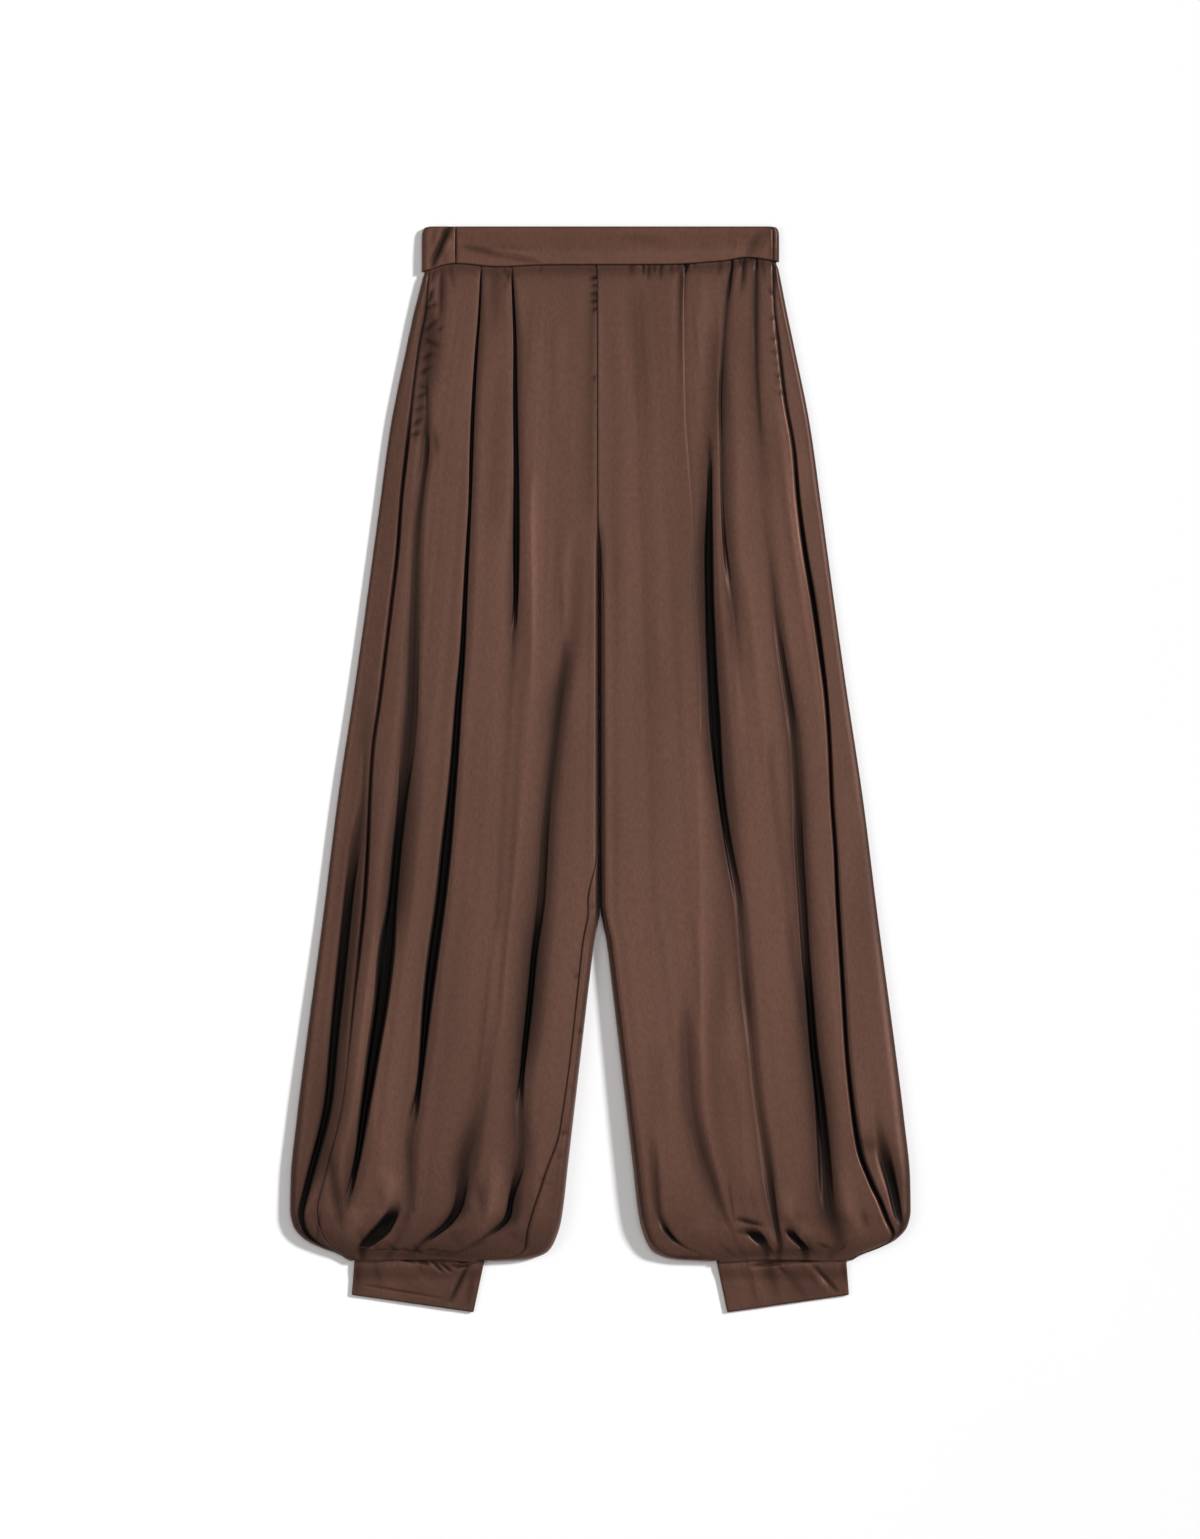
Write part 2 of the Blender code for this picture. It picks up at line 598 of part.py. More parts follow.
        centre, width, _ = self.edge_fold_place(down)
        seam = self.seam(down)
        outs = [seam + self.half_gap(self.seam, down), seam + self.crease_width(down)]
        outs += [centre + station * width for station in SOFT_STATIONS]
        last = outer - (centre + width)
        outs += [outer - share * last for share in EDGE_SHARES]
        points = [self.place(out, self.height(out, down), down, 1.0) for out in outs]
        points.append(self.place(outer, middle, down, 0.5))
        for share in UNDER_SHARES:
            high = low + (middle - low) * (1 - quarter_round(share, 1.0))
            points.append(self.place(outer - share * under_outer, high, down, 0.0))

        wrap = self.inseam(down) - inner
        rolled = [(share * under_inner, low + (middle - low) * (1 - quarter_round(share, 1.0)), 0.0)
                  for share in reversed(UNDER_SHARES)]
        rolled.append((0.0, middle, 0.5))
        for share in reversed(EDGE_SHARES):
            inward = share * wrap
            rolled.append((inward, self.height(inner + inward, down), 1.0))
        inward = max(wrap - self.half_gap(self.inseam, down), 0.0)
        rolled.append((inward, self.height(inner + inward, down), 1.0))
        ends = []
        for flat, (inward, high, upper) in zip(FLAT_INWARD, rolled):
            out = inner + flat + (inward - flat) * closing
            ends.append(self.place(out, low + (high - low) * closing, down, upper * closing))

        first, last = points[-1], ends[0]
        for share in FLAT_SHARES:
            points.append(tuple(a + (b - a) * share for a, b in zip(first, last)))
        return points + ends


def press(across):
    """Depth share of a pressed fold at a distance from its centre, in half widths."""
    return 1 / (1 + (across / 0.62) ** 6) if abs(across) < 1.6 else 0.0


def wall_normals(points, closed_ends):
    """Unit normals of a grid of rows that run round a section, one set of normals a point."""
    rows, columns = points.shape[:2]
    along = np.gradient(points, axis=0)
    ahead = np.roll(points, -1, axis=1)
    behind = np.roll(points, 1, axis=1)
    forward = ahead - points
    backward = points - behind
    for row in range(rows):
        share = closed_ends[row]
        forward[row, -1] = share * forward[row, -1] + (1 - share) * backward[row, -1]
        backward[row, 0] = share * backward[row, 0] + (1 - share) * forward[row, 0]
    forward /= np.linalg.norm(forward, axis=2, keepdims=True)
    backward /= np.linalg.norm(backward, axis=2, keepdims=True)
    around = forward + backward
    normals = np.cross(around, along)
    normals /= np.linalg.norm(normals, axis=2, keepdims=True)
    turn = np.clip(np.linalg.norm(around, axis=2, keepdims=True) / 2, 0.75, 1.0)
    return normals / turn


def match_seam(normals, first, second, shares):
    """Give the two sides of a seam the same normals, so that their walls stay apart."""
    for row, share in enumerate(shares):
        mean = (normals[row, first] + normals[row, second]) / 2
        normals[row, first] += share * (mean - normals[row, first])
        normals[row, second] += share * (mean - normals[row, second])


def thicken(points, normals, thickness):
    """The wall's inner points, straight in from its outer ones."""
    return points - normals * thickness


def new_material(name, colour):
    material = bpy.data.materials.new(name)
    material.use_nodes = True
    shader = material.node_tree.nodes["Principled BSDF"]
    shader.inputs["Base Color"].default_value = (colour.red, colour.green, colour.blue, 1.0)
    shader.inputs["Roughness"].default_value = colour.roughness
    shader.inputs["Metallic"].default_value = 0.0
    material.diffuse_color = (colour.red, colour.green, colour.blue, 1.0)
    return material


def loft_wall(collection, name, outside, inside, closed, colour):
    """Loft a wall through its rows: outer and inner points, closed all round or open at two seams."""
    rows, columns = outside.shape[:2]
    mesh = bmesh.new()
    outer = [[mesh.verts.new(point * MM) for point in row] for row in outside]
    inner = [[mesh.verts.new(point * MM) for point in row] for row in inside]
    last = columns if closed else columns - 1
    for row in range(rows - 1):
        for column in range(last):
            beside = (column + 1) % columns
            mesh.faces.new((outer[row][column], outer[row][beside],
                            outer[row + 1][beside], outer[row + 1][column]))
            mesh.faces.new((inner[row][column], inner[row + 1][column],
                            inner[row + 1][beside], inner[row][beside]))
    for column in range(last):
        beside = (column + 1) % columns
        for row in (0, rows - 1):
            mesh.faces.new((outer[row][column], outer[row][beside],
                            inner[row][beside], inner[row][column]))
    if not closed:
        for row in range(rows - 1):
            for column in (0, columns - 1):
                mesh.faces.new((outer[row][column], outer[row + 1][column],
                                inner[row + 1][column], inner[row][column]))
    bmesh.ops.recalc_face_normals(mesh, faces=mesh.faces)
    data = bpy.data.meshes.new(name)
    mesh.to_mesh(data)
    mesh.free()
    piece = bpy.data.objects.new(name, data)
    data.materials.append(new_material(name, colour))
    data.shade_smooth()
    collection.objects.link(piece)
    return piece


def build_leg(collection, leg, word):
    """The front and back panel of one leg."""
    fronts = [leg.front_row(down) for down in ROWS]
    backs = [leg.back_row(down) for down in ROWS]
    ring = np.array([front + back for front, back in zip(fronts, backs)])
    closing = [leg.closing(down) for down in ROWS]
    normals = wall_normals(ring, closing)
    split = len(fronts[0])
    match_seam(normals, split - 1, split, [1.0] * len(ROWS))
    match_seam(normals, -1, 0, [float(share > 0.99) for share in closing])
    if normals[len(ROWS) // 2, split // 2, 2] < 0:
        normals = -normals
    inside = thicken(ring, normals, CLOTH)
    loft_wall(collection, f"front_{word}", ring[:, :split], inside[:, :split], False, SATIN)
    loft_wall(collection, f"back_{word}", ring[:, split:], inside[:, split:], False, SATIN)


def build_pocket(collection, leg, word):
    """The bag of an in-seam pocket, folded at its inner side, with its mouth under the seam."""
    first, last = POCKET_MOUTH
    downs = np.concatenate([[first - 6], np.linspace(first, last, 6), [last + 12, 250, POCKET_END]])
    lower, upper = 2.05, 3.4
    rows = []
    for down in downs:
        seam = leg.seam(down)
        mouth = float(ease(last + 12, last, down))
        under = leg.height(seam, down) - CLOTH - GAP - POCKET_CLOTH
        under = lower + max(under - lower, 0.0) * mouth
        reach = -1.5 + 10.0 * (1 - mouth)
        wide = POCKET_WIDE * float(ease(POCKET_END + 60, POCKET_END - 60, down))
        line = [
            (reach, under),
            (reach + 3.0, lower + 0.55 * (under - lower)),
            (14.5, lower),
            (wide / 2, lower),
            (wide, lower),
            (wide + 1.2, (lower + upper) / 2),
            (wide, upper),
            (wide / 2, upper),
            (16.0, upper),
            (reach + 7.0, upper + 0.55 * max(under - upper, 0.0)),
            (reach + 4.4, upper + max(under - upper, 0.0)),
        ]
        rows.append([leg.place(seam - inward, high, down, 1.0) for inward, high in line])
    middle = np.array(rows)
    closed_ends = [0.0] * len(rows)
    normals = wall_normals(middle, closed_ends)
    outside = middle + normals * POCKET_CLOTH / 2
    inside = middle - normals * POCKET_CLOTH / 2
    loft_wall(collection, f"pocket_{word}", outside, inside, False, POCKETING)


def build_waistband(collection):
    """The front band and the back band, which comes round both sides to meet it."""
    rows = []
    for share, tuck, tall in BAND_ROWS:
        middle = MIDDLE_SHARE * tall
        side = BAND_SIDE - tuck
        above = UPPER_ROUND * tall
        under = LOWER_ROUND * tall
        right = -BAND_FRONT_RIGHT
        left = min(BAND_FRONT_LEFT, side - BAND_SIDE_SHOWS)
        front = [(right + GAP / 2 + (left - right - GAP) * step, tall, 1.0)
                 for step in np.linspace(0.0, 1.0, 12)]
        back = [(left + GAP / 2, tall, 1.0)]
        for inward in (4.0, 2.0, 0.5):
            high = middle + (tall - middle) * quarter_round(inward, above)
            back.append((side - inward, high, 1.0))
        back.append((side, middle, 0.5))
        back += [(side - part * under, middle * (1 - quarter_round(part, 1.0)), 0.0)
                 for part in UNDER_SHARES]
        flat = side - under
        back += [(flat * step, 0.0, 0.0) for step in (0.6, 0.2, -0.2, -0.6)]
        back += [(-side + part * under, middle * (1 - quarter_round(part, 1.0)), 0.0)
                 for part in reversed(UNDER_SHARES)]
        back.append((-side, middle, 0.5))
        for inward in (0.5, 2.0, above, 16.0):
            high = middle + (tall - middle) * quarter_round(inward, above)
            back.append((-side + inward, high, 1.0))
        back.append((right - GAP / 2, tall, 1.0))
        rows.append([
            (across, LENGTH / 2 - share * (BAND_DEPTH - GAP + waist_shift(across, upper)), high)
            for across, high, upper in front + back])
    ring = np.array(rows)
    normals = wall_normals(ring, [1.0] * len(BAND_ROWS))
    split = 12
    if normals[2, split // 2, 2] < 0:
        normals = -normals
    inside = thicken(ring, normals, BAND_CLOTH)
    loft_wall(collection, "waistband_front", ring[:, :split], inside[:, :split], False, SATIN_BAND)
    loft_wall(collection, "waistband_back", ring[:, split:], inside[:, split:], False, SATIN_BAND)


def build_cuff(collection, leg, word):
    """A cuff: a flattened tube of doubled cloth, open at its lower end."""
    radius = CUFF_HEIGHT / 2
    rows = []
    for step in np.linspace(0.0, 1.0, CUFF_ROWS):
        outer = [a + (b - a) * step for a, b in zip(CUFF_TOP_OUTER, CUFF_END_OUTER)]
        inner = [a + (b - a) * step for a, b in zip(CUFF_TOP_INNER, CUFF_END_INNER)]
        length = float(np.hypot(outer[0] - inner[0], outer[1] - inner[1]))
        section = [(radius + (length - 2 * radius) * share, CUFF_HEIGHT) for share in CUFF_COLUMNS]
        for angle in reversed(np.radians(CUFF_ROUND_ANGLES)):
            section.append((length - radius + radius * np.cos(angle), radius + radius * np.sin(angle)))
        section += [(radius + (length - 2 * radius) * share, 0.0) for share in reversed(CUFF_COLUMNS)]
        for angle in np.radians(CUFF_ROUND_ANGLES):
            section.append((radius - radius * np.cos(angle), radius + radius * np.sin(angle)))
        row = []
        for along, high in section:
            share = along / length
            out = outer[0] + (inner[0] - outer[0]) * share
            down = outer[1] + (inner[1] - outer[1]) * share
            lift = CUFF_LIFT * (1 - float(ease(*CUFF_DROP, down)))
            row.append((leg.side * out, LENGTH / 2 - down, high + lift))
        rows.append(row)
    ring = np.array(rows)
    normals = wall_normals(ring, [1.0] * CUFF_ROWS)
    if normals[2, 2, 2] < 0:
        normals = -normals
    inside = thicken(ring, normals, CUFF_CLOTH)
    loft_wall(collection, f"cuff_{word}", ring, inside, True, SATIN_BAND)


def main():
    for thing in list(bpy.data.objects):
        bpy.data.objects.remove(thing, do_unlink=True)
    collection = bpy.data.collections.new(COLLECTION)
    bpy.context.scene.collection.children.link(collection)
    right = Leg(-1, RIGHT_FOLDS, RIGHT_EDGE_FOLD, RIGHT_SIDE_SEAM, RIGHT_INSEAM)
    left = Leg(1, LEFT_FOLDS, LEFT_EDGE_FOLD, LEFT_SIDE_SEAM, LEFT_INSEAM)
    for leg, word in ((right, "right"), (left, "left")):
        build_leg(collection, leg, word)
        build_pocket(collection, leg, word)
        build_cuff(collection, leg, word)
    build_waistband(collection)


main()
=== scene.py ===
"""Brown satin balloon trousers laid flat on their back: cloth, folds, seams and stitches.

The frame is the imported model's own: metres, +Z up, +Y towards the waistband, the origin on the
surface under the middle of the garment. Tables are in millimetres. "down" runs from the top edge
of the waistband towards the cuffs, and "out" from the centre line to the side of the leg. Right
and left are the wearer's, and the right leg lies at -X.
"""

import logging
import math
from dataclasses import dataclass, field
from enum import Enum
from typing import NamedTuple, Sequence

import bmesh
import bpy
import numpy as np
from mathutils.bvhtree import BVHTree
from mathutils import Matrix, Vector


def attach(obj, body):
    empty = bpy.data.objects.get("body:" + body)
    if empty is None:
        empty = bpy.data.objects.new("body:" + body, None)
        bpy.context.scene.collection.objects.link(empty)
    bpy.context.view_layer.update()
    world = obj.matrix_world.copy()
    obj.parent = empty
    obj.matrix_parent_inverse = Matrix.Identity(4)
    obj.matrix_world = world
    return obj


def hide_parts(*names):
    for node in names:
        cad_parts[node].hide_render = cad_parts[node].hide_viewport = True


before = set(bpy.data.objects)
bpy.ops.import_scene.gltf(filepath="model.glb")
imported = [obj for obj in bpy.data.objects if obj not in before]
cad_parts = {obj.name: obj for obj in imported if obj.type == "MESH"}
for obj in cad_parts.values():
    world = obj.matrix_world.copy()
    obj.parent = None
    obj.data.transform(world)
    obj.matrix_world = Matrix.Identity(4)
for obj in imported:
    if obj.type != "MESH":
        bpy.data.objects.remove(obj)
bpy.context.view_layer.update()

LOG = logging.getLogger("trousers")
MM = 0.001
LENGTH = 1087.0
GAP = 0.3

# places down the garment: the seam with the waistband, the end of the crotch curve, where the
# legs come apart, and the seam with the cuff
BAND_DEPTH = 40.0
CROTCH = 335.0
LEGS_MEET, LEGS_PART = 684.0, 704.0
HEM = 1040.0

# the most painted light on the inner face of a wall: that face is painted in shade
INNER_PAINTED_LIGHT = 0.5

# the sockets of a mix node that mixes colours
SHARE, FIRST, SECOND, MIXED = 0, 6, 7, 2


class Side(Enum):
    """The wearer's side that a piece belongs to, with the sign of its X."""

    RIGHT = -1
    LEFT = 1

    @property
    def word(self) -> str:
        """The side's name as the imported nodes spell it."""
        return self.name.lower()


class Outline(NamedTuple):
    """A section of a leg: its width, height and how its edges are rounded."""

    down: float
    outer: float
    outer_down: float
    height: float
    low: float
    share: float
    floor: float
    spread: float


class InnerEdge(NamedTuple):
    """The inner edge of a leg below the crotch."""

    down: float
    out: float
    out_down: float
    spread: float


class Place(NamedTuple):
    """A line down a piece: how far out, in or up it lies at one place down."""

    down: float
    out: float


class SideSeam(NamedTuple):
    """A side seam's place, how deep its crease is pressed, and how dark and wide its painted shade is."""

    down: float
    out: float
    crease: float
    shade: float
    wide: float


class FoldRow(NamedTuple):
    """A fold at one place down: centre, half width, depth share, lip and soft reach each side."""

    down: float
    out: float
    half_width: float
    depth: float
    lip: float = 0.0
    inner: float = 2.5
    outer: float = 2.5


class SwellRow(NamedTuple):
    """A soft ridge, or a hollow where lift is negative, at one place down."""

    down: float
    out: float
    half_width: float
    lift: float


class Mark(NamedTuple):
    """A short crease or pucker between two places, as deep as depth in its middle."""

    out: float
    down: float
    out_to: float
    down_to: float
    half_width: float
    depth: float


class BandEdge(NamedTuple):
    """The waistband's lower edge, from the wearer's right to left."""

    across: float
    down: float


def named(kind: type, values: Sequence[tuple]) -> tuple:
    """Give every plain row of a table the names of its columns."""
    return tuple(kind(*row) for row in values)


# The leg as it lies, the same on both sides: each row gives the values that its class names.
OUTLINE = named(Outline, (
    (32, 176, 32, 6.7, 2.3, 1, 6.4, 0.95), (42, 176.2, 42, 6.7, 2.3, 1, 6.4, 0.95),
    (46, 178, 46, 8, 1.2, 0.98, 5.8, 1), (52, 179.5, 52, 9, 0, 0.96, 5.8, 1),
    (66, 182.5, 66, 9.6, 0, 0.92, 5.8, 1), (120, 194, 120, 10.2, 0, 0.8, 5.8, 1),
    (200, 210, 200, 11, 0, 0.72, 5.8, 1), (285, 221.8, 285, 11.8, 0, 0.64, 5.8, 1),
    (320, 226.5, 320, 12.2, 0, 0.62, 3.4, 1), (454, 245, 454, 13, 0, 0.6, 3.2, 1),
    (574, 263, 574, 14, 0, 0.6, 3.2, 1), (694, 278, 694, 15.5, 0, 0.6, 3.2, 1),
    (814, 294, 814, 18, 0, 0.6, 3.2, 1), (894, 304, 894, 19.5, 0, 0.6, 3.2, 1),
    (954, 310, 954, 20, 0, 0.62, 3.2, 1), (985, 310.5, 985, 19.5, 0, 0.66, 3.4, 1),
    (1000, 307.5, 1000, 18.5, 0, 0.7, 5.6, 1.2), (1014, 297, 1013, 16.8, 0, 0.76, 8, 1.7),
    (1026, 279, 1022.6, 14.6, 0, 0.8, 8.2, 2.4), (1034, 263, 1028.5, 12.6, 0, 0.84, 8.2, 2.2),
    (1040, 252, 1035, 10.8, 0, 0.88, 8.2, 1.8),
))

INNER_EDGE = named(InnerEdge, (
    (335, -1.5, 335, 1), (672, -1.5, 672, 1), (694, 1.6, 694, 1), (714, 5.8, 714, 1), (754, 10.8, 754, 1),
    (814, 17.8, 814, 1), (874, 24.8, 874, 1), (934, 31.8, 934, 1), (994, 39, 994, 1), (1014, 45, 1014, 1.2),
    (1026, 53, 1026.5, 1.8), (1034, 74, 1034, 3.4), (1040, 104, 1035.8, 4),
))

CENTRE_SEAM = named(Place, (
    (32, 3.5), (285, 2.8), (335, 1.2), (680, 0.7), (700, 0), (1040, 0),
))

BAND_EDGE = named(BandEdge, (
    (-179, 46), (-145, 37.4), (-102, 40.7), (-57, 38.8), (65, 38.4), (121, 35), (148, 31.3), (179, 36),
))

# The seams and the folds of each leg, row by row down it. The folds run from the inside leg
# outwards, with their centres and widths listed.
# A side seam's shade and wide give its painted shade, and a fold's depth gives the shade painted in it as
# well as how far it sinks.
RIGHT_SIDE_SEAM = named(SideSeam, (
    (32, 171, 0, 0, 1), (52, 172.8, 0.2, 0.3, 1), (80, 174.5, 0.3, 0.5, 1.5), (124, 182.3, 0.3, 0.75, 1),
    (174, 188.8, 0.3, 0.6, 1.2), (224, 194, 0.5, 0.95, 2.2), (274, 199.5, 0.5, 0.92, 1.8),
    (324, 203, 0.4, 0.8, 1.8), (374, 208.8, 0.3, 0.75, 2), (424, 214.8, 0.3, 0.72, 1.6),
    (474, 221, 0.3, 0.7, 1.5), (524, 228, 0.3, 0.55, 1.6), (574, 231, 0.3, 0.35, 1.5),
    (624, 233, 0.3, 0.7, 1.3), (674, 236, 0.3, 0.65, 1.3), (724, 241, 0.2, 0.35, 1.2),
    (774, 247, 0.1, 0.05, 1.2), (874, 257, 0, 0, 1), (957, 277, 0, 0, 1), (985, 283, 0, 0.1, 1),
    (1014, 276, 0, 0, 1), (1040, 245.5, 0, 0, 1),
))

LEFT_SIDE_SEAM = named(SideSeam, (
    (32, 171, 0, 0, 1), (52, 172.7, 0.2, 0.3, 1), (74, 173.5, 0.2, 0.6, 1.2), (124, 178.8, 0.4, 0.8, 1.3),
    (174, 184.8, 0.4, 0.92, 1.2), (224, 193.5, 0.5, 0.7, 2), (274, 198, 0.8, 0.85, 1.8),
    (324, 204.5, 1, 0.96, 3), (374, 212.8, 1, 1, 4), (424, 220, 0.8, 0.97, 3.4), (474, 226, 0.5, 0.95, 2),
    (524, 229.3, 0.4, 0.85, 1.8), (574, 231.3, 0.4, 0.85, 1.8), (624, 234.8, 0.4, 0.92, 1.8),
    (674, 237, 0.4, 0.95, 2), (724, 240, 0.4, 0.95, 1.8), (774, 243, 0.4, 0.85, 1.8),
    (824, 246, 0.4, 0.8, 1.6), (874, 251, 0.6, 0.95, 1.8), (924, 258.7, 0.8, 1, 3), (960, 272, 0.7, 1, 3),
    (974, 279, 0.6, 1, 2.4), (994, 287, 0.5, 0.95, 2.2), (1009, 292.5, 0.3, 0.6, 2),
    (1018, 288, 0.1, 0.2, 1), (1040, 247.5, 0, 0, 1),
))

RIGHT_INSEAM = named(Place, (
    (335, 1.5), (625, 1.8), (677, 12), (828, 10.5), (904, 12.5), (951, 23), (1002, 32), (1040, 18),
))

LEFT_INSEAM = named(Place, (
    (335, 3), (400, 4), (960, 4), (1014, 6), (1026, 9), (1034, 13), (1040, 14),
))

RIGHT_FOLDS = tuple(named(FoldRow, table) for table in (
    ((32, 60, 3, 0), (319, 48, 3, 0), (400, 36, 3, 0), (424, 34.5, 3.5, 0.45, 0, 6, 5),
     (474, 40, 5, 0.6, 0, 4, 12), (524, 46.5, 5, 0.6, 0, 8, 8), (574, 53, 4, 0.62, 0, 10, 7),
     (624, 56.5, 3.8, 0.66, 0, 10, 8), (674, 59, 4, 0.66, 0, 9, 10), (724, 66, 3.2, 0.86, 0, 11, 10),
     (774, 70.5, 3.2, 0.93, 0, 11, 10), (824, 76, 3, 0.93, 0, 9, 10), (854, 79, 2.2, 0.75, 0, 6, 9),
     (866, 81, 3, 0.62, 0, 6, 9), (880, 81, 4.2, 0.5, 0, 7, 9), (924, 77, 6, 0.48, 0, 6, 14),
     (950, 83, 4.5, 0.6, 0, 8, 8), (974, 90, 2.5, 0.95, 0, 12, 2), (991, 91.5, 3.5, 1, 0, 12),
     (1006, 108, 3.5, 0.62, 0, 8, 5), (1020, 127, 4, 0.35), (1040, 158, 3, 0.2)),
    ((32, 89, 0.8, 0), (41, 88.7, 0.9, 0.9, 0, 1.5, 1.5), (72, 87.2, 1.3, 1, 0, 2.5, 1.2),
     (124, 85.3, 1.8, 1, 0, 5, 1.2), (174, 85.2, 2.3, 1, 0, 4, 1.2), (249, 84.2, 2.6, 1, 0, 4, 1.5),
     (274, 84.2, 3, 1, 0, 3.5), (324, 84.5, 3.2, 1, 0, 3, 5), (374, 84.5, 2.4, 0.9, 0, 3, 8),
     (400, 86.5, 2.5, 0.6, 0, 5, 7), (424, 88.5, 4, 0.3, 0, 6, 6), (474, 93, 6, 0.15, 0, 6, 6),
     (534, 99, 6, 0.05), (704, 108, 7, 0.03), (774, 107, 7, 0.1), (824, 112, 7, 0.2, 0, 3, 8),
     (874, 119.5, 6, 0.28, 0, 3, 12), (924, 132, 7.5, 0.5, 0, 9, 9), (950, 138, 6.5, 0.6, 0, 10, 9),
     (974, 139.7, 5, 0.75, 0, 11, 6), (1001, 155.4, 4.8, 0.95, 0, 6, 4), (1009, 167, 4.5, 0.85, 0, 6, 5),
     (1016, 176.4, 4, 0.55), (1040, 192, 3, 0.2)),
    ((32, 119.5, 0.8, 0), (41, 119.5, 0.9, 0.9, 0, 1.5, 1.2), (88, 121.2, 1.2, 1, 0, 4, 1.2),
     (124, 124, 1.5, 1, 0, 5, 1), (174, 127, 1.8, 1, 0, 3, 1), (224, 129, 1.9, 1, 0, 3, 1),
     (274, 130.3, 1.5, 1, 0, 2.5, 1), (324, 133, 1.8, 1, 0, 3, 1), (374, 135.5, 2.2, 1, 0, 3, 1),
     (424, 137.8, 2.6, 1, 0, 3, 1), (474, 142, 3.4, 1, 0, 2, 1.5), (524, 145.3, 3.8, 1, 0, 2, 1.5),
     (574, 149.6, 4.2, 1, 0, 3, 1.5), (624, 154.5, 5.4, 1, 0, 2, 1.5), (674, 159.8, 5, 1, 0, 3, 3),
     (724, 166.8, 5.4, 1, 0, 2.5, 1.5), (774, 173, 4.8, 1, 0, 3, 1.5), (824, 177.5, 3, 1, 0, 3, 2),
     (861, 181.2, 2.3, 0.9, 0, 3, 3), (874, 183.5, 2.8, 0.7, 0, 4, 3), (886, 185.8, 3.6, 0.55, 0, 5, 3),
     (899, 188, 5, 0.42, 0, 6, 3), (924, 191.5, 5, 0.5, 0, 6, 3), (974, 190, 5, 0.42, 0, 3, 6),
     (1014, 203, 4, 0.3), (1040, 213, 3, 0.3)),
    ((32, 139, 3, 0), (319, 158, 3, 0), (764, 191, 4, 0), (882, 209, 4, 0), (965, 204, 3, 0),
     (980, 204, 6, 0.4, 0, 3, 3), (992, 211, 9, 1, 0, 5, 3), (1003, 218.5, 10.5, 1, 0, 5, 3),
     (1011, 225, 11, 1, 0, 5, 3), (1019, 233.5, 8, 0.95), (1026, 238, 5, 0.7), (1040, 238, 2.5, 0.4)),
    ((32, 158, 3, 0), (170, 173.5, 2, 0), (190, 174.5, 3, 0.5, 0, 5, 4), (224, 173, 2.5, 0.75, 0, 6, 4),
     (249, 177, 3, 0.65, 0, 4, 3), (274, 180, 3.2, 0.65, 0, 3, 7), (324, 184.5, 5, 0.6, 0, 2.5, 2),
     (374, 186, 6, 0.62, 0, 2, 2), (424, 188, 6.5, 0.65, 0, 3, 5), (474, 189, 7, 0.68, 0, 3, 5),
     (524, 193, 7.5, 0.68, 0, 6, 6), (574, 198, 4.5, 0.8, 0, 11, 6), (624, 203.5, 4.5, 0.95, 0, 12, 8),
     (674, 208, 4.5, 1, 0, 11, 8), (724, 214, 8, 1, 0, 4, 3), (774, 218.8, 7.2, 1, 0, 1.5, 2),
     (824, 226.5, 6.2, 1, 0, 1.2, 3), (874, 234, 5, 1, 0, 1.5, 3), (904, 239, 3.8, 1, 0, 4, 4),
     (924, 241, 3.4, 0.95, 0, 6, 7), (950, 247, 3.2, 0.8, 0, 7, 8), (974, 252, 3, 0.5, 0, 6, 8),
     (990, 257, 3, 0.2), (1000, 259, 3, 0), (1014, 260, 3, 0), (1040, 241, 1.5, 0)),
))

RIGHT_EDGE_FOLD = named(FoldRow, (
    (32, 173.8, 1, 0), (319, 213, 3, 0), (438, 233, 4, 0.1), (524, 236, 7, 0.3, 0, 4, 4),
    (574, 237.5, 7, 0.5, 0, 8, 5), (624, 246, 5.5, 0.62, 0, 12, 5), (674, 252, 4.6, 0.82, 0, 15, 5),
    (724, 257.3, 4.8, 0.92, 0, 15, 5), (774, 262.5, 4.8, 0.94, 0, 15, 5), (824, 267.5, 4.2, 0.94, 0, 15, 7),
    (874, 271.7, 4.2, 0.9, 0, 15, 9), (924, 283.5, 3.8, 0.95, 0, 15, 5), (947, 290, 3.5, 0.95, 0, 12, 4),
    (974, 296.5, 3.5, 0.95, 0, 4, 3), (985, 300, 3, 0.9), (1004, 297, 3.5, 0.85), (1022, 278, 3, 0.7),
    (1040, 248.8, 1.5, 0.2),
))

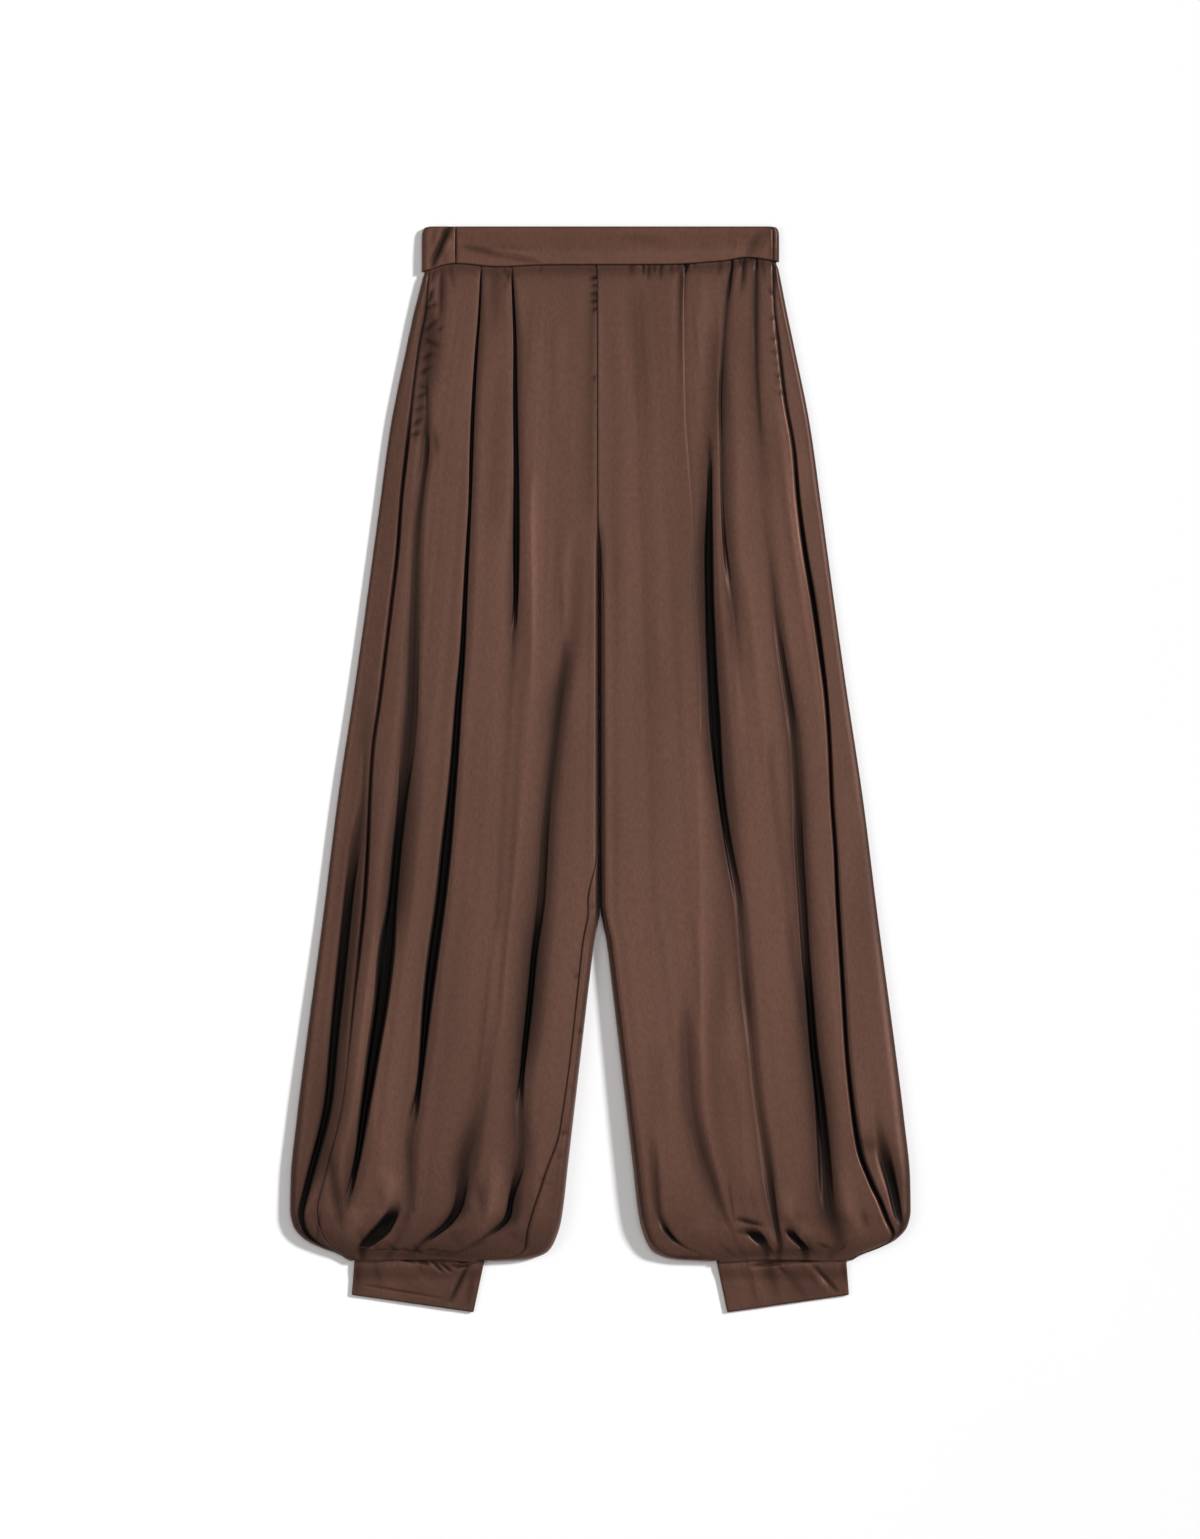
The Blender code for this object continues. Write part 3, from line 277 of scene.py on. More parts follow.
LEFT_FOLDS = tuple(named(FoldRow, table) for table in (
    ((32, 40, 3, 0), (319, 36, 4, 0), (764, 40, 4, 0), (880, 50, 4, 0.05), (924, 52.4, 4, 0.3),
     (976, 56, 3.5, 0.5, 0, 3, 4), (996, 60, 2.5, 0.5), (1009, 69, 3.5, 1, 0, 5, 2), (1018, 77, 3, 0.6),
     (1028, 95, 2, 0.2), (1040, 132, 1.5, 0.2)),
    ((32, 83, 1, 0), (41, 85.5, 2, 0.9, 0, 2, 1.5), (50, 84, 1.2, 0.5, -0.8), (88, 83, 1.2, 0.25, -1.2),
     (188, 84.5, 1.2, 0.2, -1.4), (275, 91, 1.2, 0.25, -1.5), (324, 93.5, 1.2, 0.25, -1.5),
     (374, 96, 1.3, 0.25, -1.4), (424, 98.5, 1.3, 0.2, -1.2), (479, 100, 1.4, 0.12, -1), (530, 100, 2, 0),
     (620, 98, 4, 0), (763, 85, 4, 0.12), (794, 85, 6, 0.3, 0, 4, 4), (824, 85.5, 6.5, 0.38, 0, 3, 5),
     (874, 88.5, 6.5, 0.4, 0, 8, 7), (924, 99, 6.5, 0.46, 0, 9, 6), (960, 111, 6, 0.5, 0, 9, 4),
     (976, 117.5, 4.5, 0.48, 0, 8, 4), (1001, 128, 3, 0.3, 0, 6), (1040, 147, 2.5, 0.2)),
    ((32, 93, 0.5, 0), (319, 99, 0.5, 0), (534, 107, 0.5, 0), (764, 112, 0.5, 0), (904, 128, 0.5, 0),
     (996, 145, 4, 0), (1003, 151, 7, 0.45, 0, 3, 3), (1008, 154, 9.5, 1, 0, 3, 3),
     (1013, 157, 9.5, 0.95, 0, 3, 3), (1019, 163, 5, 0.7), (1028, 167, 3, 0.55), (1040, 166, 2.5, 0.4)),
    ((32, 103, 2, 0), (196, 106, 2, 0), (212, 109, 1.8, 0.3, 0, 3), (230, 109.5, 2.2, 0.6),
     (274, 109, 2.8, 0.96, 0, 7, 3), (324, 108, 4.3, 1, 0, 10, 3), (374, 108.8, 4.4, 1, 0, 11, 4),
     (424, 110.5, 5.4, 1, 0, 10, 7), (474, 113, 5.8, 1, 0, 10, 8), (524, 116, 5, 1, 0, 10, 9),
     (574, 121, 3.6, 0.92, 0, 9, 10), (624, 128.5, 3.8, 0.78, 0, 10, 8), (674, 138, 4, 0.6, 0, 12, 4),
     (724, 142, 5, 0.5, 0, 12, 4), (774, 146, 4.6, 0.6, 0, 9, 5), (824, 151, 4.2, 0.45, 0, 8, 4),
     (874, 156, 4.2, 0.45, 0, 7, 3), (924, 164, 5, 0.5, 0, 7, 3), (974, 171, 4, 0.68, 0, 8, 4),
     (1009, 177, 3, 0.7, 0, 2, 4), (1020, 179.7, 3, 0.6), (1040, 178, 2.5, 0.4)),
    ((32, 131, 1.2, 0), (41, 131.6, 1.2, 0.9), (63, 129, 2, 0.75, 0, 5, 3),
     (84, 125, 2.5, 0.6, -0.8, 2, 6), (124, 122, 2, 0.6, -1.2, 1, 10), (174, 119.7, 1.8, 0.7, -1.2, 1, 10),
     (224, 120.5, 1.8, 0.6, -1.3, 1, 9), (274, 121.5, 1.6, 0.6, -1.3, 1, 9),
     (324, 124.5, 2, 0.7, -1.2, 2.5, 8), (374, 131, 3.5, 0.45, -1, 4, 5), (424, 134, 5, 0.25, -0.8, 5, 6),
     (470, 138, 3, 0, -0.3), (500, 146, 3, 0), (734, 172, 4, 0), (904, 187, 4, 0), (998, 187, 4, 0),
     (1006, 188.5, 4.5, 0.85), (1011, 192, 6, 1, 0, 3, 4), (1022, 203, 5, 0.9), (1040, 206, 2.5, 0.4)),
    ((32, 156.5, 1.2, 0), (41, 156.5, 1.4, 0.9), (54, 155.5, 2.4, 0.6, 0, 4, 4),
     (88, 155, 2.6, 0.6, 0, 5, 4), (124, 155, 2.6, 0.58, 0, 6, 5), (174, 157.2, 2.6, 0.5, 0, 7, 6),
     (202, 159, 2, 0.4, 0, 8, 7), (224, 160.5, 4, 0.25, 0, 9, 10), (274, 162.5, 4, 0.2, 0, 10, 10),
     (324, 167.5, 4, 0.25, 0, 8, 8), (374, 173.5, 3, 0.45, 0, 4, 4), (424, 180, 3.5, 0.65, 0, 5, 6),
     (474, 188, 4, 0.68, 0, 8, 9), (524, 194, 5, 0.58, 0, 8, 9), (574, 196.5, 4.5, 0.62, 0, 9, 11),
     (624, 198.5, 4.5, 0.68, 0, 9, 9), (674, 201.7, 4.5, 0.68, 0, 8, 9), (724, 204.7, 4, 0.7, 0, 8, 8),
     (774, 209, 4, 0.84, 0, 9, 7), (824, 213, 4.2, 0.92, 0, 10, 8), (874, 219, 5, 0.9, 0, 10, 8),
     (924, 223, 6, 0.76, 0, 9, 9), (974, 226.5, 7, 0.68, 0, 11, 10), (1009, 236.5, 6, 0.5, 0, 9, 8),
     (1018, 240, 5, 0.4), (1040, 228, 3, 0.25)),
))

LEFT_EDGE_FOLD = named(FoldRow, (
    (32, 173.8, 1, 0), (319, 213, 3, 0), (554, 245, 4, 0), (785, 268, 5, 0), (880, 276, 5, 0.1),
    (924, 282, 7, 0.6, 0, 8, 6), (950, 289, 5.5, 0.82, 0, 6, 8), (974, 294.5, 5, 0.95, 0, 4, 6),
    (990, 297, 4, 0.85), (1001, 302, 2, 0.5), (1014, 293.5, 1.5, 0.4), (1040, 250, 1, 0),
))

# Soft ridges and hollows between the folds. Each also paints a highlight on its ridge or shade in its
# hollow, and some lift the cloth so little that they are there mostly for that painted light.
RIGHT_SWELLS = tuple(named(SwellRow, table) for table in (
    ((300, 33, 8, 0), (330, 33, 8, 0.8), (377, 33, 8, 0.8), (420, 30, 8, 0)),
    ((240, 68, 6, 0), (274, 69.5, 6, 1), (324, 68.5, 5, 1.4), (374, 67.5, 5, 1.4), (424, 67.5, 5, 0.9),
     (474, 71, 6, 0.5), (520, 75, 5, 0.4), (600, 80, 5, 0.7), (700, 90, 5, 0.6), (760, 95, 4, 0.8),
     (790, 97, 4, 0.6), (820, 101, 4, 0)),
    ((40, 8, 7, -0.5), (74, 9, 8, -0.7), (124, 12, 9, -0.5), (174, 14, 9, -0.45), (250, 15, 9, -0.3),
     (300, 16, 9, 0)),
    ((90, 40, 4, 0), (104, 40, 4, 0.5), (154, 40, 5, 0.5), (200, 41, 5, 0)),
    ((40, 108, 7, -0.2), (54, 108, 8, -0.7), (80, 108, 8, -0.6), (110, 108, 8, -0.2), (140, 108, 8, 0)),
    ((690, 104, 7, 0), (740, 110, 7, 0.5), (790, 112, 7, 0.35), (830, 113, 7, 0.15), (870, 115, 7, 0)),
    ((930, 105, 6, 0), (960, 106, 8, 1), (985, 109, 9, 1.4), (1005, 116, 8, 0.9), (1020, 120, 7, 0)),
    ((44, 159, 2, 0), (52, 159, 3.5, -0.9), (80, 160, 3.5, -0.8), (100, 161, 3, 0)),
    ((60, 172, 6, 0), (90, 172, 9, -1.1), (124, 173, 10, -1.35), (150, 175, 9, -1.15), (174, 180, 9, -0.8),
     (200, 184, 6, -0.5), (220, 186, 5, 0)),
    ((196, 177, 3, 0), (210, 178, 3, -0.8), (240, 181, 3, -0.7), (255, 184, 3, 0)),
    ((780, 262, 4, 0), (830, 256, 5, 0.6), (900, 268, 4, 0.9), (955, 284, 4, 0)),
    ((915, 268, 5, 0), (945, 268, 6, -1.3), (970, 265, 6, -1.4), (990, 262, 5, -1), (1008, 260, 5, 0)),
    ((980, 246, 6, 0), (998, 245, 7, 0.9), (1014, 251, 6, 0.6), (1026, 255, 5, 0)),
    ((950, 122, 4, 0), (974, 120, 5, -0.8), (1000, 118, 4, 0)),
    ((690, 225, 4, 0), (740, 231, 5, 0.6), (840, 243, 6, 0.5), (900, 250, 5, 0)),
    ((300, 24, 6, 0), (340, 25, 7, -0.6), (400, 27, 7, -0.8), (440, 30, 5, -0.3), (470, 32, 4, 0)),
    ((120, 103, 10, 0), (180, 105, 12, -0.35), (270, 108, 12, -0.4), (320, 110, 10, 0)),
    ((80, 66, 9, 0), (140, 67, 10, 0.35), (260, 68, 10, 0.35), (400, 66, 9, 0.25), (560, 72, 8, 0)),
    ((420, 16, 8, 0), (470, 18, 10, 0.3), (530, 20, 8, 0)),
    ((940, 212, 6, 0), (962, 210, 8, 0.9), (980, 210, 8, 1), (996, 212, 7, 0.7), (1008, 212, 6, 0)),
    ((830, 86, 8, 0), (870, 86, 9, -0.3), (900, 86, 9, -0.3), (930, 86, 8, 0)),
    ((930, 44, 8, 0), (958, 44, 9, -0.28), (980, 46, 9, -0.26), (1000, 46, 8, 0)),
    ((780, 222, 6, 0), (820, 226, 7, -0.26), (850, 228, 7, -0.26), (880, 230, 6, 0)),
    ((900, 250, 6, 0), (930, 253, 7, -0.3), (965, 254, 7, -0.3), (985, 254, 6, 0)),
))

LEFT_SWELLS = tuple(named(SwellRow, table) for table in (
    ((500, 97, 6, 0), (574, 98, 7, 0.8), (674, 101, 7, 1), (774, 102, 6, 1), (820, 103, 6, 0.8),
     (880, 108, 6, 0)),
    ((44, 79, 3, -0.3), (54, 79.5, 3.5, -1.2), (90, 78.6, 3.5, -0.9), (150, 78, 4, -0.3), (200, 78, 4, 0)),
    ((44, 101, 5, 0.1), (80, 101, 7, 0.4), (180, 101, 7, 0.3), (240, 99, 5, 0)),
    ((150, 175, 4, 0), (174, 177, 5, 0.4), (224, 184.5, 6, 0.9), (274, 189.5, 6, 1.5), (324, 196, 6, 1.6),
     (374, 203.5, 6, 1.3), (424, 211, 5, 0.9), (500, 221, 4, 0.5), (560, 227, 4, 0)),
    ((560, 256, 6, 0), (640, 264, 6, -0.3), (800, 284, 7, -0.25), (980, 302, 7, -0.45),
     (1010, 290, 7, -0.3), (1022, 275, 6, 0)),
    ((640, 222, 5, 0), (700, 228, 5, 0.5), (800, 236, 5, 0.6), (880, 243, 5, 0)),
    ((200, 138, 6, 0), (274, 136, 8, 0.8), (330, 139, 8, 0.8), (374, 148, 8, 0.7), (474, 160, 9, 0.5),
     (560, 170, 9, 0)),
    ((500, 172, 3, 0), (534, 171, 3.5, -0.6), (624, 180, 5, -0.5), (674, 187, 4, -0.5),
     (718, 190, 4, -0.7), (774, 199, 4, -0.7), (830, 205, 3, 0)),
    ((40, 55, 14, -0.1), (74, 50, 14, -0.3), (174, 45, 14, -0.25), (260, 45, 12, 0)),
    ((90, 109, 8, 0), (124, 111, 9, -0.7), (174, 110, 10, -0.9), (224, 105, 9, -0.8), (260, 101, 7, -0.6),
     (330, 100, 4, -0.4), (400, 101, 4, 0)),
    ((640, 116, 6, 0), (700, 121, 8, -0.35), (824, 114, 8, -0.55), (900, 120, 10, -0.5),
     (974, 135, 8, -0.4), (1000, 140, 8, 0)),
    ((724, 95, 4, 0), (774, 92, 5, 0), (824, 100, 4, 0.5), (880, 104, 5, 0.5), (930, 112, 4, 0.3),
     (960, 120, 4, 0)),
    ((960, 185, 8, 0), (985, 188, 9, 0.8), (1009, 205, 7, 0.8), (1025, 206, 7, 0)),
    ((935, 240, 8, 0), (960, 243, 10, 0.9), (985, 248, 10, 1.5), (1009, 258, 10, 0.9), (1025, 255, 9, 0)),
    ((830, 262, 6, 0), (900, 268, 7, 0.4), (940, 275, 5, 0)),
    ((42, 142, 3, -0.6), (58, 142, 3, -0.8), (75, 138, 3, 0)),
    ((50, 34, 9, 0), (80, 33, 10, -0.45), (140, 36, 9, -0.35), (200, 38, 8, 0)),
    ((180, 163, 7, 0), (230, 168, 8, -0.35), (290, 170, 7, 0)),
    ((280, 20, 10, 0), (360, 22, 14, 0.3), (470, 22, 16, 0.4), (580, 24, 12, 0.25), (640, 26, 10, 0)),
    ((340, 12, 8, 0), (400, 12, 8, 0.4), (490, 12, 9, 0.6), (540, 12, 9, 0.45), (600, 12, 8, 0)),
    ((810, 54, 8, 0), (846, 54, 9, -0.28), (880, 54, 9, -0.28), (910, 54, 8, 0)),
    ((830, 126, 8, 0), (850, 128, 9, -0.2), (890, 138, 9, -0.26), (915, 140, 8, 0)),
    ((540, 246, 6, 0), (580, 248, 7, 0.4), (620, 250, 7, 0.5), (655, 252, 7, 0.4), (700, 256, 6, 0)),
    ((215, 200, 6, 0), (240, 203, 7, 0.5), (262, 207, 7, 0.45), (290, 210, 6, 0)),
    ((985, 103, 7, 0), (1003, 103, 9, 0.45), (1020, 103, 8, 0)),
    ((450, 136, 6, 0), (480, 138, 7, 0.45), (505, 139, 7, 0.35), (530, 140, 6, 0)),
    ((905, 256, 7, 0), (925, 258, 8, -0.3), (940, 258, 7, 0)),
))

# Gathers under the waistband, puckers along the seams, and small creases. Each also paints shade where
# it presses the cloth down and a highlight where it lifts it; some wide, shallow ones are mostly painted
# shade.
RIGHT_MARKS = named(Mark, (
    (3.2, 35, 3.2, 52, 2.2, 1.3), (96, 40, 92, 52, 1.6, 0.8), (91, 44, 96, 62, 1.3, 0.6),
    (60, 39, 60, 48, 1.2, 0.6), (151, 38, 147, 62, 2.2, 0.5), (166, 41, 169, 52, 1.3, 0.7),
    (22, 39, 21, 47, 1.1, 0.6), (40, 39, 41, 46, 1.1, 0.5), (168, 62, 171.5, 74, 1.7, 1.9),
    (175, 81, 164.5, 77.5, 1.6, 1.8), (172, 70, 166, 92, 2.4, -0.7), (176, 104, 164, 94, 1.9, 1.3),
    (177, 112, 162, 119, 2, 1.3), (178, 123, 170, 117, 1.6, -0.7), (163, 104, 158, 101, 1.6, 1.3),
    (179, 132, 166, 127, 1.8, 1.2), (181, 147, 170, 141, 1.8, 1.3), (182, 158, 172, 163, 1.8, 1.1),
    (184, 171, 173, 166, 1.8, 1.1), (186, 184, 176, 180, 1.7, 0.9), (187, 198, 180, 193, 2, 1.4),
    (189, 209, 181, 206, 2.2, 1.5), (173.5, 168, 172.5, 200, 1.8, 0.7), (166, 205, 164, 226, 2.2, 0.6),
    (159.5, 43, 159.5, 82, 2.8, 0.8), (173.5, 150, 173.5, 182, 2.2, 1), (4.2, 53, 9.5, 52, 1.7, 2.4),
    (4.2, 68.5, 9, 68, 1.7, 2.2), (4.2, 75.5, 9, 75, 1.7, 2.1), (4.2, 83, 8.5, 83, 1.7, 1.9),
    (4.2, 60.5, 8.5, 60, 1.6, 1.6), (4.2, 152, 8, 151, 1.6, 1.5), (4, 176, 7, 176, 1.5, 0.5),
    (9, 681, 4, 684, 1.6, 1), (28, 746, 22, 751, 1.6, 1), (23, 803, 18, 806, 1.6, 1),
    (31, 861, 26, 864, 1.6, 1), (39, 905, 33, 907, 1.6, 1), (45, 926, 38, 929, 1.6, 1),
    (60, 953, 50, 956, 1.6, 1), (188, 978, 186, 990, 1.4, 0.5), (119, 975, 122, 990, 1.4, 0.5),
    (280, 985, 283, 1014, 1.2, 0.8), (284, 957, 286, 985, 2.5, -0.9), (142, 968, 120, 985, 6, -0.9),
    (230, 1029, 212, 1027, 1.3, 1.3), (208, 1027, 200, 1028, 1.3, 1.4), (198, 1026, 190, 1029, 1.3, 1.5),
    (188, 1028, 178, 1031, 1.3, 1.5), (174, 1027, 164, 1027, 1.3, 1.4), (162, 1028, 149, 1031, 1.3, 1.3),
    (187, 1020, 180, 1033, 1.6, 0.9), (230, 1012, 222, 1026, 2, 0.8), (214, 1016, 205, 1030, 2, 0.7),
    (165, 1030, 160, 1036, 1.3, 0.8), (240, 1005, 236, 1020, 2.2, 0.6), (221, 960, 217, 985, 3.5, 0.35),
    (124, 1034, 236, 1033, 6, 0.28), (150, 1004, 140, 1020, 4, 0.35), (100, 1000, 70, 1020, 5, 0.3),
))

LEFT_MARKS = named(Mark, (
    (174.2, 38, 174.8, 64, 1.7, 0.9), (31, 35, 29, 53, 1.6, 1.5), (42, 35, 43, 49, 1.6, 1.3),
    (49, 35, 48, 53, 1.5, 1.4), (54, 35, 54, 47, 1.4, 1.2), (61, 35, 60, 52, 1.5, 1.6),
    (71, 35, 71, 49, 1.5, 1.1), (78, 35, 77, 45, 1.4, 1), (88, 38, 84, 48, 1.9, 2.4),
    (93, 38, 94, 44, 1.2, 0.7), (120, 36, 119, 52, 1.8, 0.8), (130, 32, 132, 49, 1.5, 1.4),
    (137, 30, 140, 46, 1.6, 1.8), (146, 29, 142, 60, 1.8, 1.7), (151, 28, 150, 43, 1.6, 1.9),
    (156, 29, 155, 40, 1.4, 1.2), (160, 34, 164, 58, 2.2, 0.6), (167.3, 64.7, 173.7, 73.6, 1.3, 1),
    (168.6, 91.5, 175, 94, 1.4, 1.2), (169, 102, 176, 105, 1.8, -0.8), (170, 112, 177, 113, 1.5, 1.2),
    (171, 125, 178, 128, 1.5, 1.1), (173, 137, 180, 140, 1.5, 0.6), (174, 148, 182, 152, 1.6, 1.1),
    (175, 155, 183, 158, 1.5, 0.6), (177, 167, 185, 168, 1.8, 1.1), (128, 957, 134, 995, 1.3, 0.7),
    (124, 1001, 130, 1012, 3, -0.8), (262, 985, 266, 1000, 2.4, 0.9), (260, 914, 275, 924, 6, 0.5),
    (30, 1002, 40, 1010, 3, -0.5), (217, 1018, 231, 1027, 2, 1), (58, 1029, 110, 1035, 1.6, 0.8),
    (62, 992, 72, 1014, 2.6, 0.6), (136, 1005, 150, 1008, 2.6, 0.7), (168, 1022, 172, 1033, 1.6, 0.8),
    (244, 1020, 240, 1030, 1.6, 0.7), (205, 1022, 214, 1034, 1.6, 0.8), (120, 1018, 134, 1034, 2.4, 0.5),
    (150, 962, 156, 990, 4, 0.3), (196, 985, 200, 1000, 4, 0.35), (120, 1032, 236, 1031, 8, 0.42),
    (138, 993, 160, 999, 2.2, 2), (166, 1003, 176, 1024, 3, -0.9), (205, 1010, 212, 1026, 2.4, 0.5),
))

BAND_MARKS = named(Mark, (
    (-150.5, -3, -168, 37, 3.2, 2.6), (-159, 20, -150, 12, 5, -0.9), (-144.7, 4, -144.9, 36, 1, 0.5),
    (-137, 18, -101, 28, 3.2, 0.7), (-101, 28, -62, 34.5, 2.6, 0.5), (-104, 22, -72, 27, 3.5, -0.35),
    (158, 4, 146, 30, 5, 0.5), (134, 6, 140, 30, 5, -0.4), (168, 6, 163, 32, 3, -0.4),
    (20, 8, 66, 14, 6, 0.25),
))

CUFF_MARKS_RIGHT = named(Mark, (
    (244, 1030, 246, 1072, 14, 0.35), (222, 1028, 140, 1040, 4, 0.45), (133, 1041, 150, 1076, 2.2, 1.7),
    (141, 1046, 156, 1078, 3, -0.9), (168, 1037, 159, 1046, 1.3, 1.5), (159, 1039, 150, 1046, 1.3, 1.6),
    (148, 1041, 132, 1041, 1.5, 1.2), (143, 1036, 134, 1037, 1.3, 1.5), (200, 1033, 186, 1036, 1.2, 1.2),
    (184, 1036, 172, 1038, 1.2, 1.2), (240, 1027, 214, 1033, 1.5, 0.9), (236, 1060, 160, 1073, 1.2, 0.5),
    (246, 1030, 247, 1064, 4, 0.5), (200, 1046, 170, 1062, 9, -0.45), (128, 1050, 134, 1082, 3, 0.5),
    (226, 1036, 222, 1060, 4, 0.35), (181, 1040, 178, 1052, 2, 0.4),
))

CUFF_MARKS_LEFT = named(Mark, (
    (196, 1036, 212, 1084, 24, 0.22), (166, 1044, 176, 1076, 5, 0.25), (236, 1028, 150, 1040, 4, 0.4),
    (215, 1042, 236, 1066, 2.2, 1.2), (207, 1040, 226, 1066, 3.5, -0.7), (167, 1036, 173, 1062, 5, 0.5),
    (152, 1040, 160, 1078, 4, -0.55), (185, 1046, 205, 1075, 5, 0.4), (152, 1041, 190, 1036, 1.8, 0.9),
    (190, 1036, 234, 1032, 1.8, 0.9), (245, 1036, 247, 1058, 4, 0.45), (135, 1046, 140, 1070, 5, -0.35),
    (178, 1040, 186, 1050, 1.6, 0.7),
))


def linear(hex_colour: str) -> tuple[float, float, float, float]:
    """Turn an sRGB hex colour into the linear values that a shader takes.

    Args:
        hex_colour: six hex digits.

    Returns:
        Red, green, blue and an alpha of one.
    """
    parts = [int(hex_colour[i:i + 2], 16) / 255 for i in (0, 2, 4)]
    values = [p / 12.92 if p <= 0.04045 else ((p + 0.055) / 1.055) ** 2.4 for p in parts]
    return values[0], values[1], values[2], 1.0


def smooth(table: Sequence[tuple], column: str, at: np.ndarray) -> np.ndarray:
    """Read one column of a table along a curve that never overshoots.

    Args:
        table: rows whose first value is the place.
        column: the name of the column to read.
        at: the places to read it at.

    Returns:
        The column's values there.
    """
    places = np.array([row[0] for row in table], float)
    values = np.array([getattr(row, column) for row in table], float)
    steps = np.diff(places)
    slopes = np.diff(values) / steps
    product = slopes[:-1] * slopes[1:]
    total = np.where(product > 0, slopes[:-1] + slopes[1:], 1.0)
    inside = np.where(product > 0, 2 * product / total, 0.0)
    tangents = np.concatenate([slopes[:1], inside, slopes[-1:]])
    at = np.clip(at, places[0], places[-1])
    i = np.clip(np.searchsorted(places, at, side="right") - 1, 0, len(steps) - 1)
    t = (at - places[i]) / steps[i]
    start = (1 + 2 * t) * (1 - t) ** 2 * values[i] + t * (1 - t) ** 2 * steps[i] * tangents[i]
    end = t * t * (3 - 2 * t) * values[i + 1] + t * t * (t - 1) * steps[i] * tangents[i + 1]
    return start + end


def drawn(table: Sequence[tuple], column: str, at: np.ndarray, reach: np.ndarray) -> np.ndarray:
    """Read a column as one flowing line, averaged over a reach to both sides.

    Args:
        table: rows whose first value is the place.
        column: the name of the column to read.
        at: the places to read it at.
        reach: how far each reading is averaged.

    Returns:
        The column's values there.
    """
    steps = np.linspace(-1.5, 1.5, 9)
    weights = np.exp(-steps ** 2)
    total = sum(w * smooth(table, column, at + step * reach) for w, step in zip(weights, steps))
    return total / weights.sum()


def ease(low: float, high: float, at: np.ndarray) -> np.ndarray:
    """Rise from 0 at low to 1 at high, level at both ends.

    Args:
        low: where the rise starts.
        high: where it ends.
        at: the values to read it at.

    Returns:
        A share from 0 to 1 for each value.
    """
    t = np.clip((at - low) / (high - low), 0.0, 1.0)
    return t * t * (3 - 2 * t)


def quarter_round(inward: np.ndarray, radius: np.ndarray) -> np.ndarray:
    """Height share of a rounded edge at a distance in from it.

    Args:
        inward: the distance in from the edge.
        radius: how far in the edge is rounded.

    Returns:
        A share from 0 at the edge to 1 where the rounding ends.
    """
    t = 1 - np.clip(inward / radius, 0.0, 1.0)
    return np.sqrt(np.maximum(1 - t * t, 0.0))


def bell(aside: np.ndarray, wide: float | np.ndarray) -> np.ndarray:
    """A soft bump over a line.

    Args:
        aside: the places' distance from the line.
        wide: how wide the bump is to each side.

    Returns:
        1 on the line, falling away to 0 on both sides.
    """
    return np.exp(-(aside / wide) ** 2)


def dents(marks: Sequence[Mark], out: np.ndarray, down: np.ndarray) -> np.ndarray:
    """How much the creases of a list lower the cloth at each place.

    Args:
        marks: the creases.
        out: the places' distance out.
        down: the places' distance down.

    Returns:
        The depth at each place, in millimetres, negative where the cloth stands up.
    """
    total = np.zeros(np.broadcast(out, down).shape)
    for mark in marks:
        run = np.array([mark.out_to - mark.out, mark.down_to - mark.down])
        length = max(float(np.hypot(*run)), 1e-6)
        along = ((out - mark.out) * run[0] + (down - mark.down) * run[1]) / length ** 2
        held = np.clip(along, 0.0, 1.0)
        aside = np.hypot(out - mark.out - held * run[0], down - mark.down - held * run[1])
        taper = 0.35 + 0.65 * np.sin(np.pi * held)
        total += mark.depth * taper * bell(aside, mark.half_width)
    return total


def painted_crease_light(pressed: np.ndarray) -> np.ndarray:
    """The painted shade where creases press the cloth down and the painted highlight where they lift it."""
    return np.exp(-0.85 * np.maximum(pressed, 0.0)) * (1 + 0.1 * np.clip(-pressed, 0.0, 1.0))


def waver(across: np.ndarray, along: np.ndarray, seed: int, count: int) -> np.ndarray:
    """A slow, uneven waver in long runs down the cloth.

    Args:
        across: a share across the panel.
        along: the distance down, in millimetres.
        seed: which of the wavers this is.
        count: how many runs there are across the panel at the finest.

    Returns:
        Values between about -1 and 1.
    """
    rng = np.random.default_rng(seed)
    total = np.zeros(np.broadcast(across, along).shape)
    weight = 0.0
    for index in range(10):
        runs = count * (0.35 + 0.65 * rng.random())
        turn = rng.random() * 2 * math.pi
        drift = rng.normal(0, 0.9)
        swing = rng.random() * 2 * math.pi
        size = 1 / (1 + 0.25 * index)
        phase = 2 * math.pi * runs * across + turn
        phase = phase + drift * np.sin(along / (140 + 160 * rng.random()) + swing)
        total = total + size * np.sin(phase) * (0.65 + 0.35 * np.sin(along / 190 + 2 * swing))
        weight += size * size
    return total / math.sqrt(weight * 2)


def waist_shift(across: np.ndarray, upper: np.ndarray) -> np.ndarray:
    """How far the waistband's seam is off its straight depth, on the front and round the sides.

    Args:
        across: the places' X, in millimetres.
        upper: 1 on the front side, 0 underneath.

    Returns:
        The shift down, in millimetres.
    """
    share = np.maximum(upper, ease(140, 172, np.abs(across)))
    return share * (smooth(BAND_EDGE, "down", across) - BAND_DEPTH)


